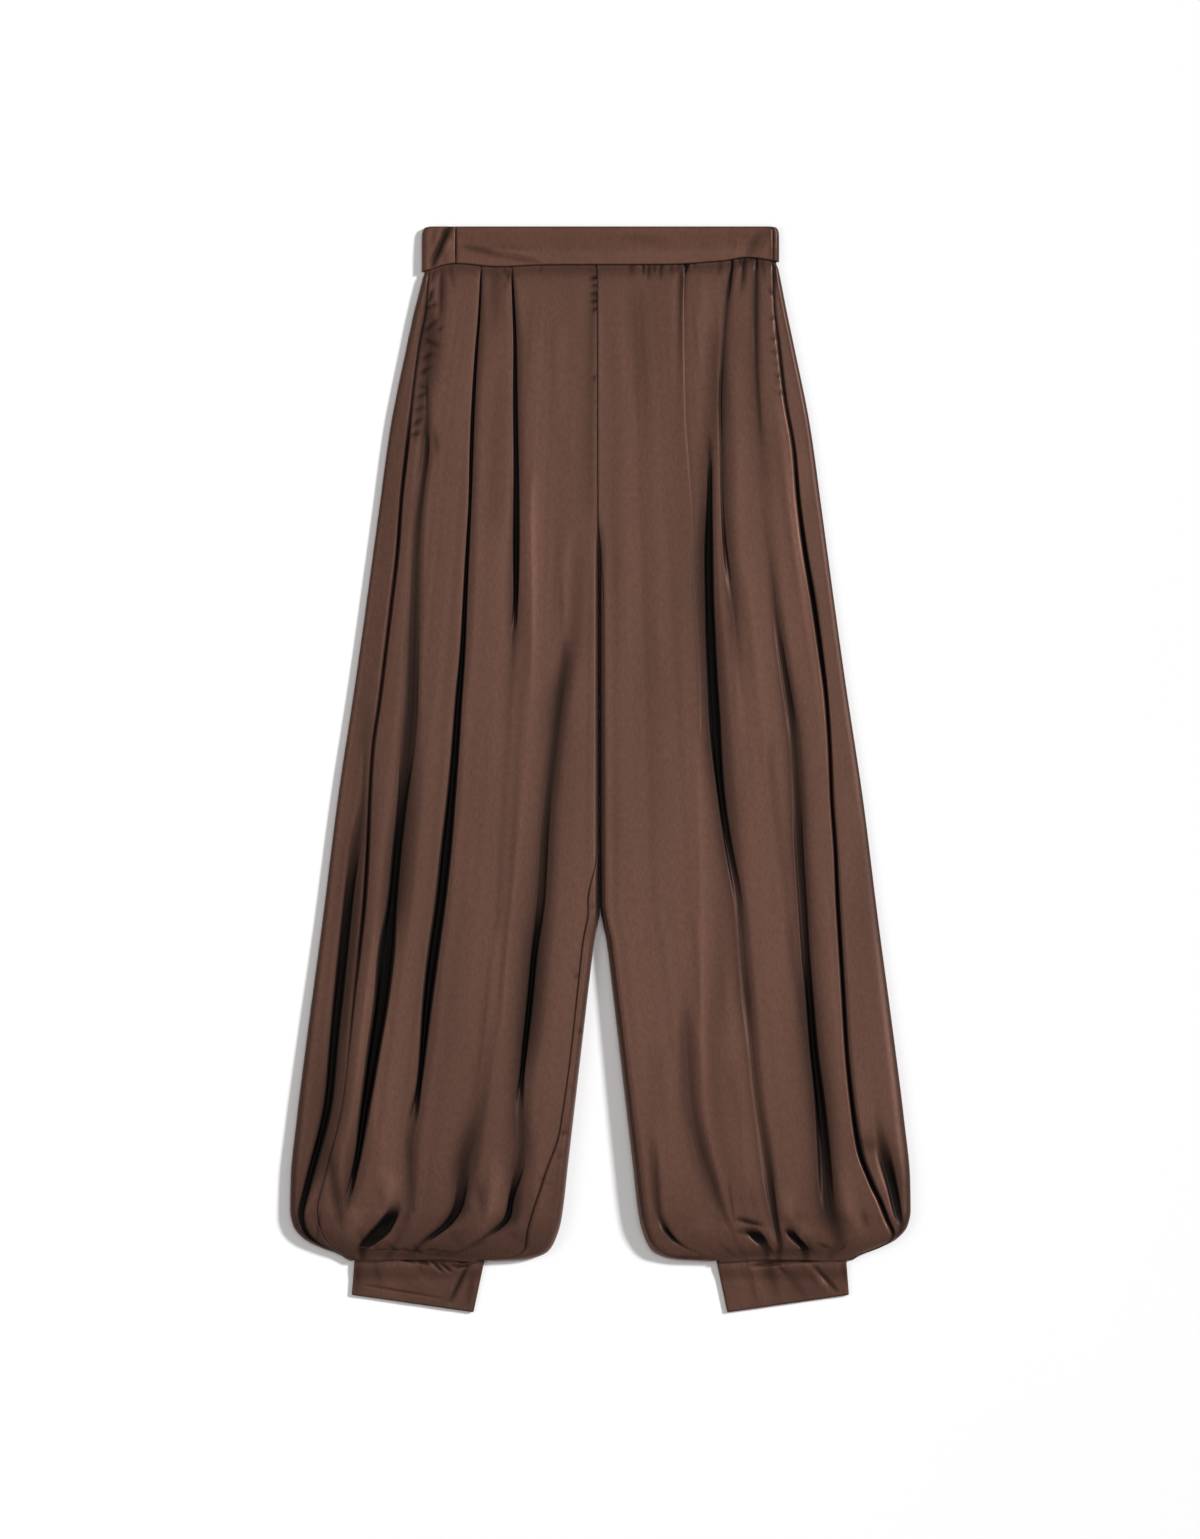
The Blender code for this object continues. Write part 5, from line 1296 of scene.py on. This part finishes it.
    def side_columns(self) -> np.ndarray:
        """Where the back's columns lie from the side seam to the side edge, as seen from above.

        Returns:
            Distances out, rows by columns.
        """
        start = self.seam + self.half_gap(self.seam)
        reached = self.seam + self.crease
        outs = [start + share * (reached - start) for share in (0.0, 0.2, 0.45, 0.7, 1.0)]
        reach = 1.2 * self.edge.width
        stop = self.edge.centre - reach
        outs += [reached + share * (stop - reached) for share in (0.25, 0.5, 0.75)]
        outs += [self.edge.centre + station * self.edge.width for station in
                 (-1.2, -1.0, -0.85, -0.65, -0.35, 0.0, 0.35, 0.65, 0.85, 1.0, 1.2)]
        last = self.outer - (self.edge.centre + reach)
        outs += [self.outer - share * last for share in
                 (0.85, 0.7, 0.56, 0.43, 0.31, 0.21, 0.13, 0.07, 0.03, 0.008)]
        return np.hstack(outs)

    def inside_turn(self, under_inner: np.ndarray) -> list[tuple]:
        """The back's columns that come round the inside edge of the leg to the seam.

        Above the crotch the legs lie side by side, so the same columns lie flat underneath.

        Args:
            under_inner: how far in the edge is rounded underneath.

        Returns:
            For each column, how far out it lies, how high, 1 where it is on the front side, and
            its painted light.
        """
        flat = np.zeros_like(self.down)
        rolled = [(share * under_inner,
                   self.low + (self.middle - self.low) * (1 - quarter_round(share, 1.0)), flat)
                  for share in reversed(self.turn)]
        rolled.append((flat, self.middle, flat + 0.5))
        tops = [None] * len(rolled)
        end = np.maximum(self.inseam - self.inner - self.half_gap(self.inseam), 0.08)
        for share in (0.01, 0.04, 0.09, 0.16, 0.26, 0.38, 0.52, 0.68, 0.85, 1.0):
            height, top = self.surface(self.inner + share * end)
            rolled.append((share * end, height, flat + 1))
            tops.append(top)
        stretch = np.linspace(1, 0, len(rolled)) ** 1.4 * 34.0
        columns = []
        for spread, top, (inward, height, upper) in zip(stretch, tops, rolled):
            out = self.inner + spread + (inward - spread) * self.closing
            high = self.low + (height - self.low) * self.closing
            # painted shade on the inner edge where it turns under between the legs
            if top is None:
                shade = 1 - 0.95 * self.closing * ease(LEGS_PART, LEGS_MEET, self.down)
            else:
                shade = 1 + (top - 1) * self.closing
            columns.append((out, high, upper * self.closing, shade))
        return columns

    def under_folds(self, out: np.ndarray, high: np.ndarray) -> np.ndarray:
        """Shallow folds on the hidden side, pressed up from the surface that it lies on.

        Args:
            out: distances out, rows by columns.
            high: the heights there.

        Returns:
            How much higher the cloth lies at each place.
        """
        across = (out - self.inner) / (self.outer - self.inner)
        wave = waver(across, self.down, self.seed + 7, 13)
        deep = 0.2 + 0.9 * ease(330, 420, self.down)
        inside = ease(0.03, 0.12, across) * ease(0.03, 0.12, 1 - across)
        lying = bell(high - self.low, 0.3)
        below_band = ease(46, 70, self.down)
        return deep * inside * lying * below_band * ease(0.15, 0.9, wave)

    def hem_roll(self, points: np.ndarray, count: int = 9) -> np.ndarray:
        """Turn the front's hem under to the seam with the cuff.

        Args:
            points: the front panel's rows.
            count: how many rows the turn takes.

        Returns:
            The rows with the turn added at the end.
        """
        last = points[-1]
        radius = np.maximum((last[:, 2] - self.cuff_top) / 2, 0.9)
        aside = np.abs(last[:, 0] - last[-1, 0])
        bulge = 1.15 * (0.08 + 0.92 * ease(0.0, 26.0, aside))
        rows = []
        for step in range(1, count + 1):
            angle = math.pi * step / count
            row = last.copy()
            row[:, 1] -= radius * math.sin(angle) * bulge
            row[:, 2] -= radius * (1 - math.cos(angle))
            rows.append(row)
        tail = rows[-1].copy()
        tail[:, 1] += 2.5
        rows.append(tail)
        return np.concatenate([points, np.array(rows)])

    def build(self) -> tuple[bpy.types.Object, bpy.types.Object]:
        """Make the leg's panels.

        Returns:
            The finished front and back panels.
        """
        front, front_shade = self.front()
        back, back_shade = self.back()
        split = front.shape[1]
        ring = np.concatenate([front, back], axis=1)
        up = (len(self.rows) // 2, split // 2)
        normals = wall_normals(ring, self.closing, up)
        self.match(normals, split - 1, split, np.ones_like(self.closing))
        self.match(normals, -1, 0, (self.closing > 0.99).astype(float))
        front_normals = normals[:, :split]
        rolled = self.hem_roll(front)
        roll_normals = wall_normals(rolled, np.zeros(len(rolled)), up)
        blend = ease(HEM - 10, HEM, self.down)[:, :, None]
        roll_normals[:len(front)] = front_normals * (1 - blend) + roll_normals[:len(front)] * blend
        shade = np.concatenate([front_shade, np.repeat(front_shade[-1:], len(rolled) - len(front), 0)])
        word = self.side.word
        front_piece = cloth_piece(f"front_{word}_satin", rolled, rolled - roll_normals * self.wall,
                                  False, shade, self.satin)
        back_piece = cloth_piece(f"back_{word}_satin", back, back - normals[:, split:] * self.wall,
                                 False, back_shade, self.satin)
        return settle(front_piece, f"front_{word}"), settle(back_piece, f"back_{word}")

    @staticmethod
    def match(normals: np.ndarray, first: int, second: int, shares: np.ndarray) -> None:
        """Give the two sides of a seam the same normals, so that their walls stay apart.

        Args:
            normals: the normals of a ring of columns, changed in place.
            first: the column on one side of the seam.
            second: the column on the other side.
            shares: for each row, 1 where the sides meet and 0 where they are loose.
        """
        mean = (normals[:, first] + normals[:, second]) / 2
        normals[:, first] += shares * (mean - normals[:, first])
        normals[:, second] += shares * (mean - normals[:, second])


@dataclass
class Pocket:
    """The bag of an in-seam pocket, folded at its inner side."""

    leg: Leg
    cloth: bpy.types.Material
    mouth: tuple[float, float] = (64.0, 209.0)
    end: float = 292.0
    wide: float = 96.0
    wall: float = 0.8
    lower: float = 2.05
    upper: float = 3.4
    flat_from: float = 14.5
    upper_flat_from: float = 16.0

    def build(self) -> bpy.types.Object:
        """Make the bag.

        Returns:
            The finished piece.
        """
        first, last = self.mouth
        leg = self.leg
        wanted = np.concatenate([np.linspace(first - 6, last + 12, 60),
                                 np.linspace(last + 17, self.end, 16)])
        nearest = [int(np.abs(leg.rows - down).argmin()) for down in wanted]
        keep = sorted(set(nearest))
        # at the mouth the bag reaches up to the seam, and below it the bag lies flat
        mouth = ease(last + 12, last, leg.down)
        seam_height = leg.surface(leg.seam)[0]
        under = seam_height - leg.wall - GAP - self.wall
        under = self.lower + np.maximum(under - self.lower, 0.0) * mouth
        reach = -1.2 + 9.7 * (1 - mouth)
        wide = self.wide * ease(self.end + 60, self.end - 60, leg.down)
        flat = 0 * leg.seam
        # the bag's section, each place as the distance in from the seam and the height: down from
        # the mouth, in over the lower layer, round the fold, back over the upper one and up again
        line = [
            (reach, under),
            (reach + 1.5, self.lower + 0.85 * (under - self.lower)),
            (reach + 3.5, self.lower + 0.5 * (under - self.lower)),
            (reach + 5.0, self.lower + 0.2 * (under - self.lower)),
            (flat + self.flat_from, flat + self.lower),
        ]
        line += [(self.flat_from + (wide - self.flat_from) * share, flat + self.lower)
                 for share in np.linspace(0, 1, 14)[1:]]
        line.append((wide + 0.9, flat + (self.lower + self.upper) / 2))
        line += [(self.upper_flat_from + (wide - self.upper_flat_from) * share, flat + self.upper)
                 for share in np.linspace(1, 0, 14)]
        rise = np.maximum(under - self.upper, 0.0)
        line += [(reach + 7.0, self.upper + 0.5 * rise), (reach + 5.6, self.upper + 0.8 * rise),
                 (reach + 4.4, self.upper + rise)]
        out = np.hstack([leg.seam - inward for inward, _ in line])
        high = np.hstack([height + flat for _, height in line])
        points = leg.placed(out, high, np.ones_like(out))[keep]
        normals = wall_normals(points, np.zeros(len(keep)))
        half = self.wall / 2
        shade = np.ones(points.shape[:2])
        word = leg.side.word
        piece = cloth_piece(f"pocket_{word}_bag", points + normals * half, points - normals * half,
                            False, shade, self.cloth)
        return settle(piece, f"pocket_{word}")


@dataclass
class Waistband:
    """The flat front band and the gathered back band that comes round both sides."""

    satin: bpy.types.Material
    side: float = 179.0
    front_right: float = 145.0
    front_left: float = 172.7
    side_shows: float = 5.6
    wall: float = 1.8
    middle_share: float = 0.36
    count: int = 46
    gather: float = 6.3
    tucks: tuple[Place, ...] = named(Place, (
        (0, 4.6), (0.035, 2.5), (0.08, 1.3), (0.18, 0.3), (0.4, 0), (1, 0),
    ))
    heights: tuple[Place, ...] = named(Place, (
        (0, 7.5), (0.18, 7.8), (0.4, 8.4), (0.7, 9), (1, 9),
    ))

    def ring(self) -> tuple[np.ndarray, np.ndarray, int]:
        """Lay out the band all round, from the front's right end.

        Returns:
            Its outer points, the painted light of each, and the column where the back band starts.
        """
        share = np.concatenate([[0.0, 0.008, 0.02, 0.04], np.linspace(0.065, 0.96, self.count - 8),
                                [0.975, 0.985, 0.993, 1.0]])[:, None]
        side = self.side - smooth(self.tucks, "out", share)
        tall = smooth(self.heights, "out", share)
        middle = self.middle_share * tall
        above = 0.55 * tall
        under = 0.40 * tall
        right = -self.front_right + 0 * share
        left = np.minimum(self.front_left, side - self.side_shows)
        steps = np.linspace(0, 1, 150)
        front = [(right + GAP / 2 + (left - right - GAP) * step, tall, 1.0) for step in steps]
        # the back band: round the left side, flat underneath, and round the right side
        back = [(left + GAP / 2, tall, 1.0)]
        back += [(side - inward, middle + (tall - middle) * quarter_round(inward, above), 1.0)
                 for inward in (4.6, 3.6, 2.7, 1.9, 1.2, 0.6, 0.2)]
        back.append((side, middle, 0.5))
        turned = (0.03, 0.1, 0.22, 0.4, 0.65, 1.0)
        back += [(side - part * under, middle * (1 - quarter_round(part, 1.0)), 0.0)
                 for part in turned]
        flat = side - under
        back += [(flat * step, 0 * share, 0.0) for step in np.linspace(1, -1, 180)[1:-1]]
        back += [(-side + part * under, middle * (1 - quarter_round(part, 1.0)), 0.0)
                 for part in reversed(turned)]
        back.append((-side, middle, 0.5))
        back += [(inward - side, middle + (tall - middle) * quarter_round(inward, above), 1.0)
                 for inward in (0.2, 0.6, 1.2, 2.0, 3.0, 4.2)]
        back += [(-side + 5.4 + (side - 5.4 + right - GAP / 2) * step, tall, 1.0)
                 for step in np.linspace(0, 1, 26)]
        across, high, upper = (np.hstack([column[index] + 0 * share for column in front + back])
                               for index in (0, 1, 2))
        # creases on the front side, gathers over the elastic underneath
        depth = share * (BAND_DEPTH - GAP + waist_shift(across, upper))
        top = high > 0.8 * tall
        round_half = 2 * self.side
        gathered = np.where((across < right) & top, 1.0, 0.0)
        ripple = waver((across + self.side) / 34.0, depth, 31, 4) * ease(0.0, 0.25, share)
        high = high - top * dents(BAND_MARKS, across, depth) + 0.35 * gathered * ripple
        high = high + top * 0.25 * waver((across + self.side) / round_half, depth * 6, 41, 8)
        lying = (high < 0.4) & (upper == 0.0)
        uneven = 1.3 * waver(across / round_half, depth, 17, 9)
        gathers = 0.5 + 0.5 * np.sin(2 * np.pi * across / self.gather + uneven)
        high = high + lying * 0.7 * gathers * ease(0.02, 0.15, share) * ease(1.0, 0.9, share)
        seam = bell(across - right, 0.8) * top * 0.5
        # painted shade in the band's creases, and over its left end, where the rounded edge faces the key
        # light
        shade = (1 - seam) * painted_crease_light(top * dents(BAND_MARKS, across, depth))
        shade = shade * (1 - 0.5 * ease(left - 9.0, left + 1.0, across) * (upper > 0))
        points = np.stack([across, LENGTH / 2 - depth, high], -1)
        return points, shade, len(front)

    def build(self) -> tuple[bpy.types.Object, bpy.types.Object]:
        """Make the band's two halves.

        Returns:
            The finished front and back bands.
        """
        ring, shade, split = self.ring()
        normals = wall_normals(ring, np.ones(len(ring)), (2, split // 2))
        outside, inside = wall_faces(ring, normals, self.wall, (0.62, 0.3, 0.12), top=True)
        front = cloth_piece("waistband_front_satin", outside[:, :split], inside[:, :split], False,
                            shade[:, :split], self.satin)
        back = cloth_piece("waistband_back_satin", outside[:, split:], inside[:, split:], False,
                           shade[:, split:], self.satin)
        return settle(front, "waistband_front"), settle(back, "waistband_back")


@dataclass
class Cuff:
    """An ankle cuff: a strip folded double and closed to a tube, lying flat."""

    side: Side
    marks: tuple[Mark, ...]
    satin: bpy.types.Material
    top_outer: tuple[float, float] = (245.0, 1018.0)
    top_inner: tuple[float, float] = (116.0, 1035.0)
    end_outer: tuple[float, float] = (249.0, 1069.5)
    end_inner: tuple[float, float] = (127.0, 1087.0)
    tall: float = 4.3
    lift: float = 1.3
    gathered: float = 16.0
    wall: float = 1.3
    seed: int = 60

    def round_line(self, share: float) -> np.ndarray:
        """Places along a line across the cuff.

        Args:
            share: how far down the cuff the line lies, from 0 to 1.

        Returns:
            X and Y of each place, in millimetres.
        """
        outer = np.array(self.top_outer) * (1 - share) + np.array(self.end_outer) * share
        inner = np.array(self.top_inner) * (1 - share) + np.array(self.end_inner) * share
        steps = np.linspace(0.03, 0.97, 30)[:, None]
        places = outer + (inner - outer) * steps
        return np.stack([self.side.value * places[:, 0], LENGTH / 2 - places[:, 1]], -1)

    def build(self) -> bpy.types.Object:
        """Make the cuff.

        Returns:
            The finished piece.
        """
        share = np.concatenate([np.linspace(0, 0.95, 52), [0.97, 0.983, 0.993, 1.0]])[:, None]
        outer = [a + (b - a) * share for a, b in zip(self.top_outer, self.end_outer)]
        inner = [a + (b - a) * share for a, b in zip(self.top_inner, self.end_inner)]
        length = np.hypot(outer[0] - inner[0], outer[1] - inner[1])
        radius = self.tall / 2
        flats = np.linspace(0, 1, 84)
        turns = np.radians(np.linspace(90, -90, 13)[1:-1])
        flat = 0 * share
        # the upper side, the inner edge, the underside and the outer edge
        ring = [(radius + (length - 2 * radius) * step, self.tall + flat, 1.0) for step in flats]
        ring += [(length - radius + radius * np.cos(turn), radius + radius * np.sin(turn) + flat, 0.0)
                 for turn in turns]
        ring += [(radius + (length - 2 * radius) * step, flat, -1.0) for step in reversed(flats)]
        ring += [(radius - radius * np.cos(turn) + flat, radius + radius * np.sin(turn) + flat, 0.0)
                 for turn in reversed(turns)]
        along, high = (np.hstack([column[index] for column in ring]) for index in (0, 1))
        upper = np.array([[column[2] for column in ring]])
        across = along / length
        out = outer[0] + (inner[0] - outer[0]) * across
        down = outer[1] + (inner[1] - outer[1]) * across
        high = high + self.lift * (1 - ease(HEM, HEM + self.gathered, down))
        crown = ease(0.0, 0.06, across) * ease(1.0, 0.94, across)
        wave = waver(across, down * 2, self.seed, 6)
        pressed = (upper > 0) * dents(self.marks, out, down)
        high = high + (upper > 0) * crown * 0.4 * wave - pressed
        gathers = waver(across, down, self.seed + 1, 22) * ease(HEM + self.gathered, HEM - 6, down)
        high = high + (upper > 0) * crown * 0.35 * gathers
        high = high + (upper < 0) * crown * 0.5 * ease(0.2, 0.9, waver(across, down, self.seed + 2, 9))
        points = np.stack([self.side.value * out, LENGTH / 2 - down, high], -1)
        normals = wall_normals(points, np.ones(len(points)), (4, 20))
        outside, inside = wall_faces(points, normals, self.wall, (0.45, 0.22, 0.08), top=False)
        seam = bell((across - 0.5) * length, 0.7) * (upper < 0)
        # painted shade along the cuff's top, where the leg's hem hangs over it
        overhang_shade = ease(0.12, 0.0, share) * (0.35 + 0.3 * waver(across, down, self.seed + 3, 24))
        shade = (1 - 0.5 * seam) * painted_crease_light(pressed) * (1 - np.clip(overhang_shade, 0.0, 0.8))
        word = self.side.word
        piece = cloth_piece(f"cuff_{word}_satin", outside, inside, True, shade, self.satin)
        return settle(piece, f"cuff_{word}")


@dataclass
class Stitching:
    """Lock stitches along the seams and bar tacks at the pockets' ends, as one mesh."""

    cloth: Sequence[bpy.types.Object]
    thread: bpy.types.Material
    pitch: float = 2.8
    stitch: float = 2.1
    thick: float = 0.36
    band_reach: float = 174.0
    band_inset: float = 1.6
    band_step: float = 4.0
    cuff_lines: tuple[float, float] = (0.045, 0.95)
    seed: int = 5
    skin: BVHTree | None = field(init=False, default=None)

    def laid(self, run: np.ndarray, upper: bool) -> list[Vector]:
        """Lay a run of stitches on the cloth.

        Args:
            run: places, X and Y in millimetres.
            upper: seen from above, else from below.

        Returns:
            The places on the cloth, in metres.
        """
        start, way = (0.1, -1.0) if upper else (-0.1, 1.0)
        hits = [self.skin.ray_cast(Vector((across * MM, along * MM, start)), Vector((0, 0, way)))[0]
                for across, along in run]
        return [hit for hit in hits if hit is not None]

    def runs(self, legs: Sequence[Leg], cuffs: Sequence[Cuff]) -> list[list[Vector]]:
        """Find every run: round the waistband, round both cuffs twice, and the four bar tacks.

        Args:
            legs: the legs, for their pockets' ends.
            cuffs: the cuffs.

        Returns:
            For each run, its places on the cloth, in metres.
        """
        across = np.arange(-self.band_reach, self.band_reach + 0.1, self.band_step)
        found = []
        for upper in (True, False):
            edge = BAND_DEPTH - self.band_inset + waist_shift(across, np.full_like(across, float(upper)))
            found.append(self.laid(np.stack([across, LENGTH / 2 - edge], -1), upper))
            for cuff in cuffs:
                for share in self.cuff_lines:
                    found.append(self.laid(cuff.round_line(share), upper))
        for leg in legs:
            for down in (Pocket.mouth[0] - 1, Pocket.mouth[1] + 1):
                seam = float(smooth(leg.side_seam, "out", np.array([[down]]))[0, 0])
                out = leg.side.value * (seam - np.array([5.0, 4.2, 3.4, 2.6, 1.8, 1.0]))
                along = LENGTH / 2 - down + np.array([-1.6, 1.6] * 3)
                found.append(self.laid(np.stack([out, along], -1), True))
        return found

    def tree(self) -> bpy.types.NodeTree:
        """Make the node tree that sets a stitch at every pitch of a run.

        Returns:
            The node tree.
        """
        group = bpy.data.node_groups.new("lock_stitches", "GeometryNodeTree")
        sockets = group.interface
        for name, kind in (("Runs", "Geometry"), ("Pitch", "Float"), ("Stitch", "Float"),
                           ("Radius", "Float"), ("Seed", "Int"), ("Thread", "Material")):
            sockets.new_socket(name, in_out="INPUT", socket_type=f"NodeSocket{kind}")
        sockets.new_socket("Stitches", in_out="OUTPUT", socket_type="NodeSocketGeometry")
        given = add_node(group, "NodeGroupInput").outputs
        curve = add_node(group, "GeometryNodeMeshToCurve", {"Mesh": given["Runs"]})
        spaced = add_node(group, "GeometryNodeCurveToPoints",
                          {"Curve": curve.outputs["Curve"], "Length": given["Pitch"]}, mode="LENGTH")
        stitch = add_node(group, "GeometryNodeMeshCylinder",
                          {"Radius": given["Radius"], "Depth": given["Stitch"]}, {"Vertices": 6})
        vary = add_node(group, "FunctionNodeRandomValue", {"Seed": given["Seed"]},
                        {"Min": (0.9, 0.9, 0.88), "Max": (1.1, 1.1, 1.06)},
                        data_type="FLOAT_VECTOR")
        placed = add_node(group, "GeometryNodeInstanceOnPoints",
                          {"Points": spaced.outputs["Points"], "Rotation": spaced.outputs["Rotation"],
                           "Instance": stitch.outputs["Mesh"], "Scale": vary.outputs["Value"]})
        real = add_node(group, "GeometryNodeRealizeInstances",
                        {"Geometry": placed.outputs["Instances"]})
        finish = add_node(group, "GeometryNodeSetMaterial",
                          {"Geometry": real.outputs["Geometry"], "Material": given["Thread"]})
        add_node(group, "NodeGroupOutput", {"Stitches": finish.outputs["Geometry"]})
        return group

    def build(self, legs: Sequence[Leg], cuffs: Sequence[Cuff]) -> bpy.types.Object:
        """Make the stitches.

        Args:
            legs: the legs, for their pockets' ends.
            cuffs: the cuffs.

        Returns:
            The finished piece.
        """
        shape = bmesh.new()
        for piece in self.cloth:
            shape.from_mesh(piece.data)
        self.skin = BVHTree.FromBMesh(shape)
        shape.free()
        places, edges = [], []
        for run in self.runs(legs, cuffs):
            first = len(places)
            places += run
            edges += [(first + step, first + step + 1) for step in range(len(run) - 1)]
        mesh = bpy.data.meshes.new("seam_runs")
        mesh.from_pydata(places, edges, [])
        runs = linked("seam_runs", mesh)
        modifier = runs.modifiers.new("stitches", "NODES")
        modifier.node_group = self.tree()
        values = {"Pitch": self.pitch * MM, "Stitch": self.stitch * MM,
                  "Radius": self.thick / 2 * MM, "Seed": self.seed, "Thread": self.thread}
        for item in modifier.node_group.interface.items_tree:
            if item.in_out == "INPUT" and item.name in values:
                modifier[item.identifier] = values[item.name]
        bpy.context.view_layer.update()
        found = runs.evaluated_get(bpy.context.evaluated_depsgraph_get())
        stitches = bpy.data.meshes.new_from_object(found)
        runs.modifiers.remove(modifier)
        bpy.data.objects.remove(runs)
        piece = linked("seam_stitches", stitches)
        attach(piece, "root")
        LOG.info("%s: %d faces", piece.name, len(stitches.polygons))
        return piece


class Lamp(NamedTuple):
    """A soft rectangular light: its place and size in metres, its power in watts."""

    name: str
    place: tuple[float, float, float]
    wide: float
    long: float
    power: float


@dataclass
class Studio:
    """The pale floor, the soft lights and the camera straight above."""

    height: float = 6.0
    image_height: float = 1.539
    true_at: float = 0.011
    shift: float = -0.0004
    sensor: float = 36.0
    sun: float = 3.3
    sun_angle: float = 8.0
    sun_place: tuple[float, float, float] = (1.95, 0.86, 1.45)
    lamps: tuple[Lamp, ...] = (Lamp("left_fill", (-3.2, 0.2, 3.4), 2.4, 2.4, 36.0),
                               Lamp("overhead", (0.7, 0.5, 6.5), 1.8, 4.2, 84.0))
    warm: tuple[float, float, float] = (1.03, 1.0, 0.97)
    world: float = 0.174
    floor_half: float = 6.0
    floor_drop: float = 0.0003

    def aim(self, light: bpy.types.Light, place: tuple[float, float, float]) -> None:
        """Put a light at a place, turned to the middle of the garment.

        Args:
            light: the light.
            place: where it goes.
        """
        lamp = linked(light.name, light)
        lamp.location = place
        lamp.rotation_euler = Vector(place).to_track_quat("Z", "Y").to_euler()

    def lights(self) -> None:
        """Add the key from the upper right, the wide soft lights and a pale surround."""
        key = bpy.data.lights.new("key", "SUN")
        key.energy = self.sun
        key.angle = math.radians(self.sun_angle)
        self.aim(key, self.sun_place)
        for lamp in self.lamps:
            light = bpy.data.lights.new(lamp.name, "AREA")
            light.shape = "RECTANGLE"
            light.size = lamp.wide
            light.size_y = lamp.long
            light.energy = lamp.power
            light.color = self.warm
            self.aim(light, lamp.place)
        world = bpy.data.worlds.new("studio")
        world.use_nodes = True
        background = world.node_tree.nodes["Background"]
        background.inputs["Color"].default_value = (*self.warm, 1.0)
        background.inputs["Strength"].default_value = self.world
        bpy.context.scene.world = world

    def floor(self) -> None:
        """Add the plain white floor that the garment lies on."""
        mesh = bpy.data.meshes.new("floor")
        shape = bmesh.new()
        bmesh.ops.create_grid(shape, x_segments=1, y_segments=1, size=self.floor_half)
        shape.to_mesh(mesh)
        shape.free()
        mesh.transform(Matrix.Translation((0, 0, -self.floor_drop)))
        # painted board, matt white: no pattern that the eye would see, only a broad unevenness
        mesh.materials.append(Plain("white_studio_floor", "fcfdff", "f8f9fb", 0.9, 900).build())
        linked("floor", mesh)

    def build(self) -> None:
        """Make the floor, the lights and the camera."""
        self.floor()
        self.lights()
        data = bpy.data.cameras.new("camera")
        data.sensor_width = self.sensor
        data.lens = self.sensor * (self.height - self.true_at) / self.image_height
        camera = linked("camera", data)
        camera.location = (self.shift, 0, self.height)
        bpy.context.scene.camera = camera
        bpy.context.scene.view_settings.view_transform = "Standard"


def main() -> None:
    logging.basicConfig(level=logging.INFO, format="%(message)s")
    # satin of one layer: it shows every soft fold, with a low sheen on the slopes to the light
    satin = Satin("polyester_satin_woven").build()
    # the same satin fused to a stiff layer and folded double: flat, even and a little redder
    band_satin = Satin("polyester_satin_fused_double", light="624439", dark="5a3f35").build()
    # satin folded double and gathered into, in colours a little darker: painted shade, since it lies low
    cuff_satin_shaded = Satin("polyester_satin_double_shaded", light="5b4036", dark="4f382f").build()
    # matt cotton in a plain weave: threads 0.3 mm apart, drawn at 0.6 mm so that they show
    pocketing = Plain("cotton_pocketing_plain_woven", "5a4238", "4b362e", 0.8, 0.6).build()
    # thread spun of short fibres: matt, with the 0.4 mm turns of its twist
    thread = Plain("polyester_thread_spun", "5e4237", "4d352c", 0.6, 0.4).build()
    legs = (Leg(Side.RIGHT, RIGHT_FOLDS, RIGHT_EDGE_FOLD, RIGHT_SIDE_SEAM, RIGHT_INSEAM,
                RIGHT_SWELLS, RIGHT_MARKS, satin, gap_shade=2.7, seed=3),
            Leg(Side.LEFT, LEFT_FOLDS, LEFT_EDGE_FOLD, LEFT_SIDE_SEAM, LEFT_INSEAM,
                LEFT_SWELLS, LEFT_MARKS, satin, rim_shade_ends=0.0, rim_shade_all=0.45, hem_tone=0.18,
                seed=21))
    cuffs = (Cuff(Side.RIGHT, CUFF_MARKS_RIGHT, cuff_satin_shaded, seed=59),
             Cuff(Side.LEFT, CUFF_MARKS_LEFT, cuff_satin_shaded, seed=61))
    cloth = []
    for leg, cuff in zip(legs, cuffs):
        front, back = leg.build()
        pocket = Pocket(leg, pocketing).build()
        tube = cuff.build()
        cloth += [front, back, tube]
    band_front, band_back = Waistband(band_satin).build()
    Stitching(cloth + [band_front, band_back], thread).build(legs, cuffs)
    Studio().build()


if __name__ == "__main__":
    main()
